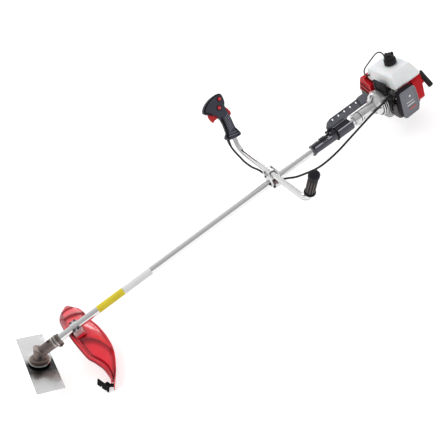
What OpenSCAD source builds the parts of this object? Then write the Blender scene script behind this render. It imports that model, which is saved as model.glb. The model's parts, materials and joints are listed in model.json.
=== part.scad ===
// Petrol brush cutter with a bull-horn handlebar.
// Three frames are used. The row frame has its origin on the blade spindle's exposed thread,
// +X towards the engine, +Y to the operator's right and +Z up. head() is square to the
// spindle and shaft() is square to the drive tube; both start where the two axes cross.

/* [Drive tube] */
// Outer diameter of the drive tube
tube_d = 28; // [26:1:32]
// Wall of the drive tube
tube_wall = 1.5; // [1:0.25:2.5]
// Length of the drive tube
tube_len = 1500; // [1200:10:1700]
// Diameter of the drive shaft
drive_shaft_d = 8; // [7:0.5:10]
// Radial clearance of sliding and running fits
fit_gap = 0.05; // [0.02:0.01:0.1]

/* [Gear head] */
// Lean of the blade spindle from square to the tube, in degrees
spindle_lean = 34; // [28:1:40]
// Outer diameter of the neck that holds the tube
neck_d = 40; // [38:1:48]
// Outer diameter of the bevel gear barrel
barrel_d = 44; // [44:1:52]
// Diameter of the blade spindle
spindle_d = 10; // [8:1:12]
// Outer diameter of the wrap guard ring
wrap_guard_d = 75; // [66:1:84]
// Outer diameter of the blade holder
holder_d = 78; // [70:1:90]
// Teeth of the bevel pinion
pinion_teeth = 12; // [10:1:14]
// Teeth of the bevel gear
gear_teeth = 15; // [14:1:18]

/* [Blade] */
// Tip to tip length of the blade
blade_len = 316; // [230:5:330]
// Width of the blade
blade_w = 98; // [60:1:100]
// Thickness of the blade
blade_t = 1.6; // [1.4:0.1:3]
// Diameter of the blade's bore
blade_bore_d = 25.4; // [20:0.2:25.4]

/* [Guard] */
// Thickness of the guard shell
guard_t = 2.6; // [2:0.1:4]
// Depth of the guard's rim skirt at its middle
skirt_depth = 34; // [20:1:50]
// Distance of the guard clamp from the gear head's centre
guard_clamp_x = 154; // [150:1:160]
// Diameter of the guard and handle clamp bolts
clamp_bolt_d = 6; // [5:0.5:6]

/* [Handlebar] */
// Outer diameter of the handlebar
bar_d = 22; // [19:1:24]
// Wall of the handlebar tube
bar_wall = 1.5; // [1:0.25:2]
// Distance of the handlebar from the gear head's centre
bar_x = 1078; // [1000:1:1120]
// Height of the handlebar over the tube's centre line
bar_z = 38; // [36:1:42]
// Angle through which each arm is bent up, in degrees
bar_bend = 66; // [55:1:75]
// Forward tilt of the arms about the bar, in degrees
bar_tilt = 13; // [0:1:20]
// Centre line radius of the two bends
bend_r = 60; // [45:1:70]
// Half of the distance between the two bent corners
corner_y = 245; // [220:1:280]
// Length of the plain grip
grip_len = 112; // [100:1:130]
// Outer diameter of the plain grip
grip_d = 35; // [32:1:40]

/* [Harness plate] */
// Length of the row of hook holes
hook_row = 120; // [90:5:140]
// Number of hook holes
hook_holes = 5; // [3:1:6]
// Diameter of a hook hole
hook_hole_d = 8; // [7:0.5:10]
// Lean of the harness plate from upright, in degrees
plate_lean = 41; // [20:1:50]

/* [Engine] */
// Outer diameter of the clutch housing's neck
housing_neck_d = 46; // [44:1:54]
// Outer diameter of the clutch housing's flange
housing_d = 104; // [100:1:112]
// Outer diameter of the clutch drum
drum_d = 76; // [70:1:80]
// Outer diameter of the flywheel
flywheel_d = 90; // [80:1:92]
// Outer diameter of the fan and starter housing
fan_case_d = 110; // [106:1:114]
// Number of cooling fins on the cylinder
fin_count = 8; // [6:1:9]
// Width of the square cooling fins
fin_w = 60; // [56:1:62]
// Length of the fuel tank along the shaft
fuel_tank_len = 123; // [115:1:126]
// Width of the fuel tank
fuel_tank_w = 162; // [150:1:164]
// Wall of the fuel tank
fuel_tank_wall = 2.5; // [2:0.25:4]
// Diameter of the fuel cap
cap_d = 47; // [42:1:52]
// Length of the starter's pull handle
pull_len = 76; // [60:1:85]

/* [Hidden] */
$fn = 48;
eps = 0.01;
seat_gap = 0.3;

// Driving radii
tube_r = tube_d / 2;
tube_bore_r = tube_r - tube_wall;
shaft_r = drive_shaft_d / 2;
spindle_r = spindle_d / 2;
neck_r = neck_d / 2;
barrel_r = barrel_d / 2;
bar_r = bar_d / 2;
bolt_r = clamp_bolt_d / 2;
bolt_head_r = bolt_r + 2.2;

// Tube ends, measured from the crossing of tube and spindle axes
tube_insert = 58;
tube_x0 = 30;
tube_x1 = tube_x0 + tube_len;
neck_end = tube_x0 + tube_insert;
eng_x = tube_x1 - 1530;

// Levels on the spindle, measured upwards from the axes' crossing
case_base_h = -25;
case_foot_h = -30;
ring_top_h = -30.3;
ring_bottom_h = -35.6;
holder_top_h = -36;
holder_bottom_h = -43;
blade_top_h = holder_bottom_h;
blade_bottom_h = blade_top_h - blade_t;
washer_bottom_h = blade_bottom_h - 4;
nut_bottom_h = washer_bottom_h - 8;
thread_relief = 1;
shank_top_h = nut_bottom_h - thread_relief;
spindle_end_h = shank_top_h - 12;
spindle_top_h = -3;
head_rise = -(shank_top_h + spindle_end_h) / 2;

// Spindle and pinion bearings
spindle_bearing_r = 15;
spindle_bearing_h0 = -28;
spindle_bearing_h1 = -15;
gear_cavity_r = 17.6;
pinion_bearing_r = 13;
pinion_bearing_x0 = 16;
pinion_bearing_x1 = 26;

module head() {
  rotate([0, spindle_lean, 0]) translate([0, 0, head_rise]) children();
}

module shaft() {
  translate([head_rise * sin(spindle_lean), 0, head_rise * cos(spindle_lean)]) children();
}

module engine() {
  shaft() translate([eng_x, 0, 0]) children();
}

module rod_x(x0, x1, r) {
  translate([x0, 0, 0]) rotate([0, 90, 0]) cylinder(h = x1 - x0, r = r);
}

module cone_x(x0, x1, r0, r1) {
  translate([x0, 0, 0]) rotate([0, 90, 0]) cylinder(h = x1 - x0, r1 = r0, r2 = r1);
}

module ring_x(x0, x1, r_out, r_in) {
  difference() {
    rod_x(x0, x1, r_out);
    rod_x(x0 - 1, x1 + 1, r_in);
  }
}

module rod_y(y0, y1, r) {
  translate([0, y0, 0]) rotate([-90, 0, 0]) cylinder(h = y1 - y0, r = r);
}

module rod_h(h0, h1, r) {
  translate([0, 0, h0]) cylinder(h = h1 - h0, r = r);
}

module ring_h(h0, h1, r_out, r_in) {
  difference() {
    rod_h(h0, h1, r_out);
    rod_h(h0 - 1, h1 + 1, r_in);
  }
}

// Box given by its low and high corners
module box(low, high) {
  translate(low) cube(high - low);
}

// Hexagon-headed bolt: underside of the head at z = 0, shank downwards
module hex_bolt(length, r, head_r, head_h) {
  cylinder(h = head_h, r = head_r, $fn = 6);
  translate([0, 0, -length]) cylinder(h = length, r = r);
}

// Round-headed socket screw: underside of the head at z = 0, shank downwards
module socket_screw(length, r, head_r, head_h) {
  difference() {
    cylinder(h = head_h, r = head_r);
    translate([0, 0, head_h * 0.4]) cylinder(h = head_h, r = head_r * 0.5, $fn = 6);
  }
  translate([0, 0, -length]) cylinder(h = length, r = r);
}

// Smooth curve through a list of points: Catmull-Rom position at s, in whole segments
function pick(list, i) = list[max(0, min(len(list) - 1, i))];
function curve_at(list, s) =
  let(i = min(floor(s), len(list) - 2), f = s - i,
      a = pick(list, i - 1), b = pick(list, i), c = pick(list, i + 1), d = pick(list, i + 2))
  0.5 * (2 * b + (c - a) * f + (2 * a - 5 * b + 4 * c - d) * f * f
         + (3 * b - a - 3 * c + d) * f * f * f);
function curve_points(list, count) =
  [for (k = [0 : count]) curve_at(list, k * (len(list) - 1) / count)];
function unit(v) = v / norm(v);

// Round cord swept along its centre points
module cord(centres, r, sides) {
  last = len(centres) - 1;
  rings = [
    for (k = [0 : last])
      let(t = unit(centres[min(last, k + 1)] - centres[max(0, k - 1)]),
          u = unit(cross(t, abs(t.z) > 0.9 ? [1, 0, 0] : [0, 0, 1])),
          v = cross(t, u))
      for (s = [0 : sides - 1])
        centres[k] + r * (cos(360 * s / sides) * u + sin(360 * s / sides) * v)
  ];
  walls = [
    for (k = [0 : last - 1], s = [0 : sides - 1])
      let(n = (s + 1) % sides)
      [k * sides + s, (k + 1) * sides + s, (k + 1) * sides + n, k * sides + n]
  ];
  first_cap = [for (s = [0 : sides - 1]) s];
  last_cap = [for (s = [sides - 1 : -1 : 0]) last * sides + s];
  polyhedron(rings, concat(walls, [first_cap, last_cap]), convexity = 8);
}

// ---------------------------------------------------------------- gear head

top_tip_h = 27;
top_heel_h = 6;
neck_x0 = 4;
lug_low_z = -neck_r - 11;
lug_bolt_z = -neck_r - 5.5;

module gear_case_outside() {
  head() intersection() {
    rod_h(case_foot_h, top_tip_h, barrel_r);
    rotate([0, atan((top_tip_h - top_heel_h) / barrel_d), 0])
      translate([-60, -60, (top_tip_h + top_heel_h) / 2 - 120]) cube([120, 120, 120]);
  }
  head() rod_h(case_foot_h, case_base_h, wrap_guard_d / 2 - 5);
  head() translate([0, 0, case_base_h]) cylinder(h = 4, r1 = wrap_guard_d / 2 - 10, r2 = barrel_r);
  shaft() rod_x(neck_x0, neck_end, neck_r);
  // Stiffening rings and the two lugs of the clamp slit
  shaft() for (x = [54, 64, 74]) rod_x(x, x + 4, neck_r + 1.6);
  shaft() box([neck_end - 22, -7, lug_low_z], [neck_end - 2, 7, -neck_r + 6]);
}

module gear_case() {
  color([0.46, 0.42, 0.40]) difference() {
    gear_case_outside();
    head() rod_h(case_foot_h - 1, spindle_bearing_h1, spindle_bearing_r + fit_gap);
    head() rod_h(spindle_bearing_h1 - eps, 3, gear_cavity_r);
    shaft() rod_x(6, pinion_bearing_x1, pinion_bearing_r + fit_gap);
    shaft() rod_x(pinion_bearing_x1 - eps, tube_x0, tube_bore_r);
    shaft() rod_x(tube_x0 - eps, neck_end + 1, tube_r + fit_gap);
    // Clamp slit under the tube and the bolt across it
    shaft() box([neck_end - 26, -1, lug_low_z - 1], [neck_end + 1, 1, 0]);
    shaft() translate([neck_end - 12, 0, lug_bolt_z]) rod_y(-12, 12, 2.6);
    // Grease hole in the side of the barrel
    head() translate([-4, 0, -8]) rod_y(-barrel_r - 2, -gear_cavity_r + 5, 3.05);
    // Locating screw hole on top of the neck
    shaft() translate([48, 0, 0]) rod_h(tube_r - 2, neck_r + 4, 2.6);
  }
}

module head_screws() {
  color([0.2, 0.2, 0.22]) {
    shaft() translate([neck_end - 12, -7 - seat_gap, lug_bolt_z]) rotate([90, 0, 0])
      socket_screw(16, 2.5, 4.4, 4.4);
    head() translate([-4, -barrel_r - 0.05, -8]) rotate([90, 0, 0]) hex_bolt(4, 3, 5, 3.4);
    shaft() translate([48, 0, neck_r + seat_gap]) socket_screw(neck_r - tube_r + 0.1, 2.5, 4.4, 3.6);
  }
}

drum_bearing_x0 = 1562;
drum_bearing_x1 = 1572;
drum_bearing_r = 14;
drum_hub_r = 7.5;

module bearings() {
  color([0.75, 0.76, 0.78]) {
    head() ring_h(spindle_bearing_h0, spindle_bearing_h1 - 0.2, spindle_bearing_r, spindle_r + fit_gap);
    shaft() ring_x(pinion_bearing_x0, pinion_bearing_x1, pinion_bearing_r, pinion_hub_r + fit_gap);
    engine() ring_x(drum_bearing_x0, drum_bearing_x1, drum_bearing_r, drum_hub_r + fit_gap);
  }
}

// Bevel gear pair: pitch cones share the point where the axes cross
shaft_angle = 90 + spindle_lean;
pinion_cone = atan2(sin(shaft_angle), gear_teeth / pinion_teeth + cos(shaft_angle));
gear_cone = shaft_angle - pinion_cone;
gear_pitch_r = 15;
cone_reach = gear_pitch_r / sin(gear_cone);
face_w = 4;
tooth_rise = 0.9;
tooth_w = 1.7;
pinion_hub_r = 7;

// Toothed cone with its apex at the origin, opening towards +z
module bevel(half_angle, teeth, phase) {
  z0 = (cone_reach - face_w) * cos(half_angle);
  z1 = cone_reach * cos(half_angle);
  r0 = (cone_reach - face_w) * sin(half_angle);
  r1 = cone_reach * sin(half_angle);
  root = 1.3;
  translate([0, 0, z0]) cylinder(h = z1 - z0, r1 = r0 - root, r2 = r1 - root);
  intersection() {
    translate([0, 0, z0]) cylinder(h = z1 - z0, r1 = r0 + tooth_rise / 2, r2 = r1 + tooth_rise / 2);
    for (k = [0 : teeth - 1]) rotate([0, 0, 360 * (k + phase) / teeth])
      translate([0, -tooth_w / 2, z0]) cube([r1 + 3, tooth_w, z1 - z0]);
  }
}

module bevel_pinion() {
  color([0.55, 0.55, 0.58]) shaft() difference() {
    union() {
      rotate([0, 90, 0]) bevel(pinion_cone, pinion_teeth, 0);
      rod_x(cone_reach * cos(pinion_cone) - eps, pinion_bearing_x0, pinion_hub_r + 2);
      rod_x(pinion_bearing_x0 - eps, tube_x0 - 1, pinion_hub_r);
    }
    rod_x(pinion_bearing_x0 - 2, tube_x0, shaft_r + fit_gap / 2);
  }
}

module bevel_gear() {
  color([0.55, 0.55, 0.58]) head() difference() {
    union() {
      mirror([0, 0, 1]) bevel(gear_cone, gear_teeth, 0.5);
      rod_h(spindle_bearing_h1 + 0.3, -cone_reach * cos(gear_cone) + eps, 9);
    }
    rod_h(-30, 5, spindle_r + fit_gap / 2);
  }
}

module spindle() {
  color([0.7, 0.7, 0.72]) head() difference() {
    union() {
      rod_h(spindle_end_h, spindle_top_h, spindle_r);
      translate([0, 0, spindle_end_h - 1]) cylinder(h = 1, r1 = spindle_r - 1, r2 = spindle_r);
    }
    // Relief groove between the bare shank and the part inside the nut
    ring_h(shank_top_h, nut_bottom_h + 1.5, spindle_r + 1, spindle_r - 0.8);
    // Hexagon socket in the end, for holding the spindle while the nut turns
    rod_h(spindle_end_h - 2, spindle_end_h + 4, 2.5, $fn = 6);
  }
}

module wrap_guard() {
  color([0.5, 0.47, 0.45]) head() difference() {
    union() {
      rod_h(ring_bottom_h, ring_top_h, wrap_guard_d / 2);
      rod_h(ring_bottom_h, ring_top_h + 0.1, 20);
    }
    rod_h(ring_bottom_h - 1, ring_top_h + 1, 11);
    rod_h(ring_bottom_h - 1, ring_bottom_h + 2.4, wrap_guard_d / 2 - 4);
  }
}

module blade_holder() {
  color([0.62, 0.6, 0.6]) head() difference() {
    union() {
      rod_h(holder_bottom_h, holder_top_h, holder_d / 2 - 2.5);
      rod_h(holder_bottom_h + 1.5, holder_top_h - 2, holder_d / 2);
      rod_h(holder_top_h - eps, spindle_bearing_h0 - 0.3, 9);
      rod_h(blade_bottom_h + 0.2, holder_bottom_h + eps, blade_bore_d / 2 - fit_gap);
    }
    rod_h(blade_bottom_h - 2, spindle_bearing_h0 + 1, spindle_r + fit_gap / 2);
  }
}

bevel_w = 9;

module cutting_blade() {
  color([0.8, 0.81, 0.83]) head() difference() {
    translate([-blade_w / 2, -blade_len / 2, blade_bottom_h]) cube([blade_w, blade_len, blade_t]);
    rod_h(blade_bottom_h - 1, blade_top_h + 1, blade_bore_d / 2);
    // Ground cutting edges along both long sides, ends of the blade only
    for (turn = [0, 180], end = [0, 1]) rotate([0, 0, turn])
      translate([blade_w / 2, 0, blade_top_h]) rotate([0, atan(blade_t * 0.8 / bevel_w), 0])
        translate([-bevel_w, end == 0 ? 60 : -blade_len / 2 - 1, 0])
          cube([bevel_w * 2, blade_len / 2 - 59, 4]);
  }
}

module clamp_washer() {
  color([0.7, 0.7, 0.72]) head() difference() {
    union() {
      rod_h(washer_bottom_h, blade_bottom_h - 1.6, 14);
      translate([0, 0, blade_bottom_h - 2.6]) cylinder(h = 2.6, r1 = 18, r2 = 23);
    }
    rod_h(washer_bottom_h - 1, blade_bottom_h + 1, spindle_r + fit_gap);
  }
}

module blade_nut() {
  color([0.3, 0.3, 0.32]) head() difference() {
    union() {
      rod_h(nut_bottom_h, washer_bottom_h, 9.8, $fn = 6);
      rod_h(washer_bottom_h - 2, washer_bottom_h, 11.5);
    }
    rod_h(nut_bottom_h - 1, washer_bottom_h + 1, spindle_r + fit_gap / 2);
  }
}

// ---------------------------------------------------------------- drive tube

module drive_tube() {
  color([0.8, 0.81, 0.82]) shaft() ring_x(tube_x0, tube_x1, tube_r, tube_bore_r);
}

drum_disc_x = 1597;

module drive_shaft() {
  color([0.6, 0.6, 0.62]) shaft() rod_x(pinion_bearing_x0 + 1, eng_x + drum_disc_x - 4, shaft_r);
}

bush_len = 30;
bush_count = 4;

module shaft_bushes() {
  pitch = tube_len / (bush_count + 1);
  color([0.15, 0.15, 0.15]) shaft() for (k = [1 : bush_count])
    ring_x(tube_x0 + k * pitch - bush_len / 2, tube_x0 + k * pitch + bush_len / 2,
           tube_bore_r - fit_gap, shaft_r + fit_gap);
}

// ---------------------------------------------------------------- guard

// Front edge and outer shoulder of the shell from the near end to the far end,
// in the head frame: forward reach from the spindle, side, height
front_edge = [
  [196, -212, -4], [192, -200, 8], [178, -172, 20], [158, -142, 28], [138, -112, 33],
  [117, -40, 46], [107, 0, 54], [101, 46, 48], [104, 110, 36], [113, 146, 30], [126, 168, 26]
];
outer_edge = [
  [204, -216, 0], [215, -196, 16], [226, -158, 38], [233, -120, 48], [233, -90, 56],
  [227, -40, 64], [217, 12, 66], [205, 56, 64], [198, 110, 58], [190, 158, 47], [176, 186, 34]
];
guard_steps = 40;
guard_rows = 9;

// Rise of the shell between its two edges, with the seat for the clamp at the tube
function guard_bulge(t) = 7 + 11 * exp(-pow((t - 0.62) / 0.2, 2));
function skirt_at(t) = skirt_depth + 14 * exp(-pow(t / 0.12, 2)) - 4 * t;
function far_round(t, v) = 14 * sin(180 * v) * pow(t, 14);

// Point of the outside skin: j = 0 is the lip under the front edge, the last is the skirt's foot
function guard_point(i, j) =
  let(t = i / guard_steps,
      f = curve_at(front_edge, t * (len(front_edge) - 1)),
      o = curve_at(outer_edge, t * (len(outer_edge) - 1)),
      v = (j - 1) / (guard_rows - 2),
      span = unit([o.x - f.x, o.y - f.y, 0]))
  j == 0 ? f - [0, 0, 7]
  : j == guard_rows ? o + span * 3 - [0, 0, skirt_at(t) * 0.5]
  : j == guard_rows + 1 ? o + span * 4 - [0, 0, skirt_at(t)]
  : f + (o - f) * v + [0, far_round(t, v), guard_bulge(t) * sin(180 * v)];

function guard_normal(i, j) =
  let(a = guard_point(min(guard_steps, i + 1), j) - guard_point(max(0, i - 1), j),
      b = guard_point(i, min(guard_rows + 1, j + 1)) - guard_point(i, max(0, j - 1)))
  unit(cross(b, a));

module guard_skin() {
  rows = guard_rows + 2;
  cells = guard_steps + 1;
  outside = [for (i = [0 : guard_steps], j = [0 : rows - 1]) guard_point(i, j)];
  inside = [for (i = [0 : guard_steps], j = [0 : rows - 1])
    guard_point(i, j) - guard_t * guard_normal(i, j)];
  n = cells * rows;
  skin = [for (i = [0 : guard_steps - 1], j = [0 : rows - 2])
    let(a = i * rows + j, b = a + rows) for (tri = [[a, b, a + 1], [b, b + 1, a + 1]]) tri];
  lining = [for (tri = skin) [tri[0] + n, tri[2] + n, tri[1] + n]];
  low_rim = [for (i = [0 : guard_steps - 1]) let(a = i * rows, b = a + rows)
    for (tri = [[a, a + n, b], [b, a + n, b + n]]) tri];
  high_rim = [for (i = [0 : guard_steps - 1]) let(a = i * rows + rows - 1, b = a + rows)
    for (tri = [[a, b, a + n], [b, b + n, a + n]]) tri];
  near_end = [for (j = [0 : rows - 2])
    for (tri = [[j, j + 1, j + n], [j + 1, j + 1 + n, j + n]]) tri];
  far_end = [for (j = [0 : rows - 2]) let(a = guard_steps * rows + j)
    for (tri = [[a, a + n, a + 1], [a + 1, a + n, a + 1 + n]]) tri];
  polyhedron(concat(outside, inside), concat(skin, lining, low_rim, high_rim, near_end, far_end),
             convexity = 10);
}

bracket_x0 = guard_clamp_x - 16;
bracket_x1 = guard_clamp_x + 16;
bracket_w = 31;
bracket_drop = 19;
ear_y = 22.5;

module guard_bolt_places() {
  for (x = [guard_clamp_x - 9, guard_clamp_x + 9], side = [-1, 1])
    translate([x, side * ear_y, 0]) children();
}

// Shell with a flat seat under the clamp
module guard_shell() {
  seat_z = -bracket_drop - seat_gap;
  color([0.75, 0.05, 0.09]) difference() {
    union() {
      difference() {
        head() guard_skin();
        shaft() box([bracket_x0 - 1, -bracket_w - 1, seat_z - 4], [bracket_x1 + 1, bracket_w + 1, 10]);
      }
      shaft() box([bracket_x0 - 2, -bracket_w - 2, seat_z - 12], [bracket_x1 + 2, bracket_w + 2, seat_z]);
    }
    shaft() guard_bolt_places() rod_h(seat_z - 13, seat_z + 1, bolt_r + fit_gap);
  }
}

module guard_bracket() {
  color([0.75, 0.76, 0.78]) shaft() difference() {
    box([bracket_x0, -bracket_w, -bracket_drop], [bracket_x1, bracket_w, -0.5]);
    rod_x(bracket_x0 - 1, bracket_x1 + 1, tube_r + fit_gap);
    guard_bolt_places() rod_h(-bracket_drop - 1, 1, bolt_r + fit_gap);
  }
}

module guard_strap() {
  color([0.75, 0.76, 0.78]) shaft() difference() {
    union() {
      intersection() {
        rod_x(bracket_x0 + 3, bracket_x1 - 3, tube_r + 3);
        box([bracket_x0, -40, 0.5], [bracket_x1, 40, 40]);
      }
      box([bracket_x0 + 3, -bracket_w + 1, 0.5], [bracket_x1 - 3, bracket_w - 1, 5]);
    }
    rod_x(bracket_x0 - 1, bracket_x1 + 1, tube_r + fit_gap);
    guard_bolt_places() rod_h(-1, 8, bolt_r + fit_gap);
  }
}

module guard_bolts() {
  color([0.25, 0.25, 0.27]) shaft() guard_bolt_places()
    translate([0, 0, 5]) hex_bolt(bracket_drop + 12, bolt_r, bolt_head_r, 4);
}

cutter_len = 58;
cutter_h = -42;
// Inner face of the guard's skirt at its near end, seen along the spindle, with the seat gap
skirt_seat = [[204.6, -216], [210.6, -206.1]];

module line_cutter() {
  color([0.06, 0.06, 0.06]) head() {
    difference() {
      translate([190, -208, cutter_h]) rotate([0, 0, 114]) union() {
        box([0, -2, -26], [cutter_len, 2, 0]);
        box([0, -10, -6], [20, 2, 6]);
        box([cutter_len - 24, -9, -26], [cutter_len, -2, -20]);
      }
      // Notches that catch the cord
      translate([190, -208, cutter_h]) rotate([0, 0, 114]) {
        translate([cutter_len / 2, -20, -30]) rotate([0, 30, 0]) cube([8, 40, 14]);
        translate([6, -20, -30]) rotate([0, 30, 0]) cube([6, 40, 10]);
      }
    }
    // Foot bolted to the skirt
    translate([0, 0, cutter_h]) linear_extrude(height = 9)
      polygon([skirt_seat[0], skirt_seat[1], [199, -202], [188, -207.5]]);
  }
}

// ---------------------------------------------------------------- handlebar

clamp_half_x = 22.5;
clamp_half_y = 26;
clamp_bolt_x = 17;
clamp_bolt_y = 19.5;
cap_top_z = bar_z + bar_r + 5;
base_low_z = -tube_r - 6;
cable_r = 4.2;

module bar_clamp_frame() {
  shaft() translate([bar_x, 0, 0]) children();
}

module clamp_bolt_places() {
  for (x = [-clamp_bolt_x, clamp_bolt_x], y = [-clamp_bolt_y, clamp_bolt_y])
    translate([x, y, 0]) children();
}

module clamp_block(low, high) {
  intersection() {
    box([-clamp_half_x, -clamp_half_y, low], [clamp_half_x, clamp_half_y, high]);
    translate([0, 0, low - 1]) cylinder(h = high - low + 2, r = 31);
  }
}

module clamp_bores() {
  rod_x(-40, 40, tube_r + fit_gap);
  translate([0, 0, bar_z]) rod_y(-50, 50, bar_r + fit_gap);
  clamp_bolt_places() rod_h(base_low_z - 1, cap_top_z + 1, bolt_r + fit_gap);
}

module bar_clamp_base() {
  color([0.78, 0.79, 0.8]) bar_clamp_frame() difference() {
    clamp_block(base_low_z, -0.6);
    clamp_bores();
    rod_x(-8, 8, tube_r + 12);
  }
}

cable_in = [-14, 36, 26.5];
cable_out = [14, -36, 13.5];
cable_run = norm(cable_out - cable_in);
cable_turn = atan2(cable_out.y - cable_in.y, cable_out.x - cable_in.x);
cable_fall = asin((cable_in.z - cable_out.z) / cable_run);

module bar_clamp_body() {
  color([0.78, 0.79, 0.8]) bar_clamp_frame() difference() {
    clamp_block(0.6, bar_z - 0.6);
    clamp_bores();
    // Channel that lets the throttle cable pass between bar and tube
    translate(cable_in) rotate([0, cable_fall, cable_turn])
      rod_x(-5, cable_run + 5, cable_r + 1.2);
    for (side = [-1, 1]) translate([0, side * (clamp_half_y + 3), bar_z / 2 - 1])
      rod_x(-13, 13, 7);
  }
}

module bar_clamp_cap() {
  color([0.78, 0.79, 0.8]) bar_clamp_frame() difference() {
    union() {
      clamp_block(bar_z + 0.6, bar_z + 6);
      intersection() {
        translate([0, 0, bar_z]) rod_y(-13, 13, bar_r + 5);
        clamp_block(bar_z + 0.6, cap_top_z);
      }
    }
    clamp_bores();
  }
}

module bar_clamp_bolts() {
  color([0.25, 0.25, 0.27]) bar_clamp_frame() clamp_bolt_places()
    translate([0, 0, bar_z + 6]) hex_bolt(bar_z + 6 - base_low_z - 2, bolt_r, bolt_head_r, 4.4);
}

// Frame of the bar: y along the straight stretch, z in the plane of both arms
module bar_frame() {
  shaft() translate([bar_x, 0, bar_z]) rotate([0, bar_tilt, 0]) children();
}

// Frame of the right arm: z up along the arm, x away from the gear head
grip_start = 50;
module arm_frame() {
  bar_frame() translate([0, corner_y, 0]) rotate([-(90 - bar_bend), 0, 0])
    translate([0, 0, grip_start]) children();
}

module left_arm_frame() {
  shaft() translate([bar_x, 0, bar_z]) rotate([0, bar_tilt, 0]) translate([0, -corner_y, 0])
    rotate([90 - bar_bend, 0, 0]) translate([0, 0, grip_start]) children();
}

bend_run = bend_r * tan(bar_bend / 2);
bar_in_grip = 70;

// Centre line of the bar in bar_frame(), from the left arm's end to the right arm's end
bend_steps = 8;
arm_len = grip_start - bend_run + bar_in_grip;
right_half = concat(
  [for (k = [0 : bend_steps])
    [0, corner_y - bend_run + bend_r * sin(bar_bend * k / bend_steps),
     bend_r * (1 - cos(bar_bend * k / bend_steps))]],
  [[0, corner_y + (bend_run + arm_len) * cos(bar_bend), (bend_run + arm_len) * sin(bar_bend)]]
);
bar_path = concat(
  [for (k = [len(right_half) - 1 : -1 : 0]) [0, -right_half[k].y, right_half[k].z]], right_half
);
bar_sides = 24;

// Tube swept along a path that stays in the plane x = 0
module bent_tube(path, r_out, r_in, sides) {
  last = len(path) - 1;
  function skin(r) = [for (k = [0 : last])
    let(t = unit(path[min(last, k + 1)] - path[max(0, k - 1)]), v = cross([1, 0, 0], t))
    for (s = [0 : sides - 1])
      path[k] + r * (cos(360 * s / sides) * [1, 0, 0] + sin(360 * s / sides) * v)];
  n = (last + 1) * sides;
  outer = [for (k = [0 : last - 1], s = [0 : sides - 1]) let(e = (s + 1) % sides)
    [k * sides + s, (k + 1) * sides + s, (k + 1) * sides + e, k * sides + e]];
  inner = [for (f = outer) [f[3] + n, f[2] + n, f[1] + n, f[0] + n]];
  start_rim = [for (s = [0 : sides - 1]) let(e = (s + 1) % sides) [s, e, e + n, s + n]];
  end_rim = [for (s = [0 : sides - 1]) let(e = (s + 1) % sides, c = last * sides)
    [c + s, c + s + n, c + e + n, c + e]];
  polyhedron(concat(skin(r_out), skin(r_in)), concat(outer, inner, start_rim, end_rim), convexity = 8);
}

module handlebar() {
  color([0.82, 0.83, 0.84]) bar_frame() bent_tube(bar_path, bar_r, bar_r - bar_wall, bar_sides);
}

module plain_grip() {
  r = grip_d / 2;
  color([0.12, 0.12, 0.13]) left_arm_frame() difference() {
    rotate_extrude() polygon([
      [0, 0], [r + 4, 0], [r + 4, 4], [r - 1, 7], [r, grip_len - 28], [r + 3, grip_len - 20],
      [r + 3, grip_len - 8], [r, grip_len - 3], [r - 6, grip_len], [0, grip_len]
    ]);
    translate([0, 0, -1]) cylinder(h = bar_in_grip + 1.3, r = bar_r + fit_gap);
    for (k = [0 : 11]) rotate([0, 0, 30 * k]) translate([r - 1, -1, 12])
      cube([4, 2, grip_len - 44]);
  }
}

// Throttle handle: outline in the plane of the arm, x away from the gear head, z up the arm
handle_half_w = 17;
handle_outline = [
  [-24, 0], [-36, 4], [-37, 12], [-27, 28], [-26, 60], [-29, 88], [-34, 100], [-44, 112],
  [-60, 121], [-78, 128], [-86, 138], [-84, 147], [-74, 160], [-60, 171], [-42, 180], [-22, 186],
  [-4, 189], [5, 186], [9, 177], [10, 160], [9, 148], [4, 138], [3, 124], [6, 108], [11, 88],
  [14, 66], [16, 38], [24, 20], [28, 10], [25, 3], [16, 0]
];
trigger_pivot = [-46, 134];
lockout_pivot = [-5, 127];
button_places = [[-8, 168], [-22, 136]];
button_r = 7.5;
pocket_half_w = 6;
cable_bore_x = -29;

// Space in which the trigger swings
trigger_pocket = [
  [-76, 122], [-80, 100], [-66, 84], [-38, 88], [-24, 98], [-22, 112], [-30, 128], [-36, 142],
  [-46, 146], [-57, 144], [-66, 136], [-76, 132]
];
lockout_pocket = [
  [-12, 134], [8, 138], [34, 104], [28, 84], [2, 86], [-5, 92], [-6, 106], [-12, 120]
];

module handle_slice(outline, y0, y1) {
  translate([0, y1, 0]) rotate([90, 0, 0]) linear_extrude(height = y1 - y0) polygon(outline);
}

module handle_edge_bevels() {
  // Chamfers along the four outer corners of the grip
  for (side = [-1, 1], x = [-27, 15])
    translate([x, side * handle_half_w, 28]) rotate([0, 0, 45]) cube([9, 9, 140], center = true);
}

handle_screw_places = [[-66, 150], [-14, 112], [-18, 14]];

module handle_cavities() {
  translate([0, 0, -1]) cylinder(h = bar_in_grip + 1.3, r = bar_r + fit_gap);
  handle_slice(trigger_pocket, -pocket_half_w, pocket_half_w);
  handle_slice(lockout_pocket, -pocket_half_w, pocket_half_w);
  for (place = [trigger_pivot, lockout_pivot]) translate([place.x, 0, place.y])
    rod_y(-pocket_half_w - 6, pocket_half_w + 6, 2 + fit_gap);
  translate([cable_bore_x, 0, -1]) cylinder(h = 24, r = cable_r + seat_gap);
  for (place = handle_screw_places) translate([place.x, 0, place.y]) {
    rod_y(-handle_half_w - 1, 12, 1.8);
    rod_y(-handle_half_w - 1, -handle_half_w + 3, 3.4);
  }
  for (place = button_places) translate([place.x, 0, place.y])
    rod_y(-handle_half_w - 1, -5, button_r + 0.3);
}

module throttle_case_left() {
  color([0.16, 0.16, 0.17]) arm_frame() difference() {
    handle_slice(handle_outline, 0, handle_half_w);
    handle_cavities();
    handle_edge_bevels();
  }
}

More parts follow.
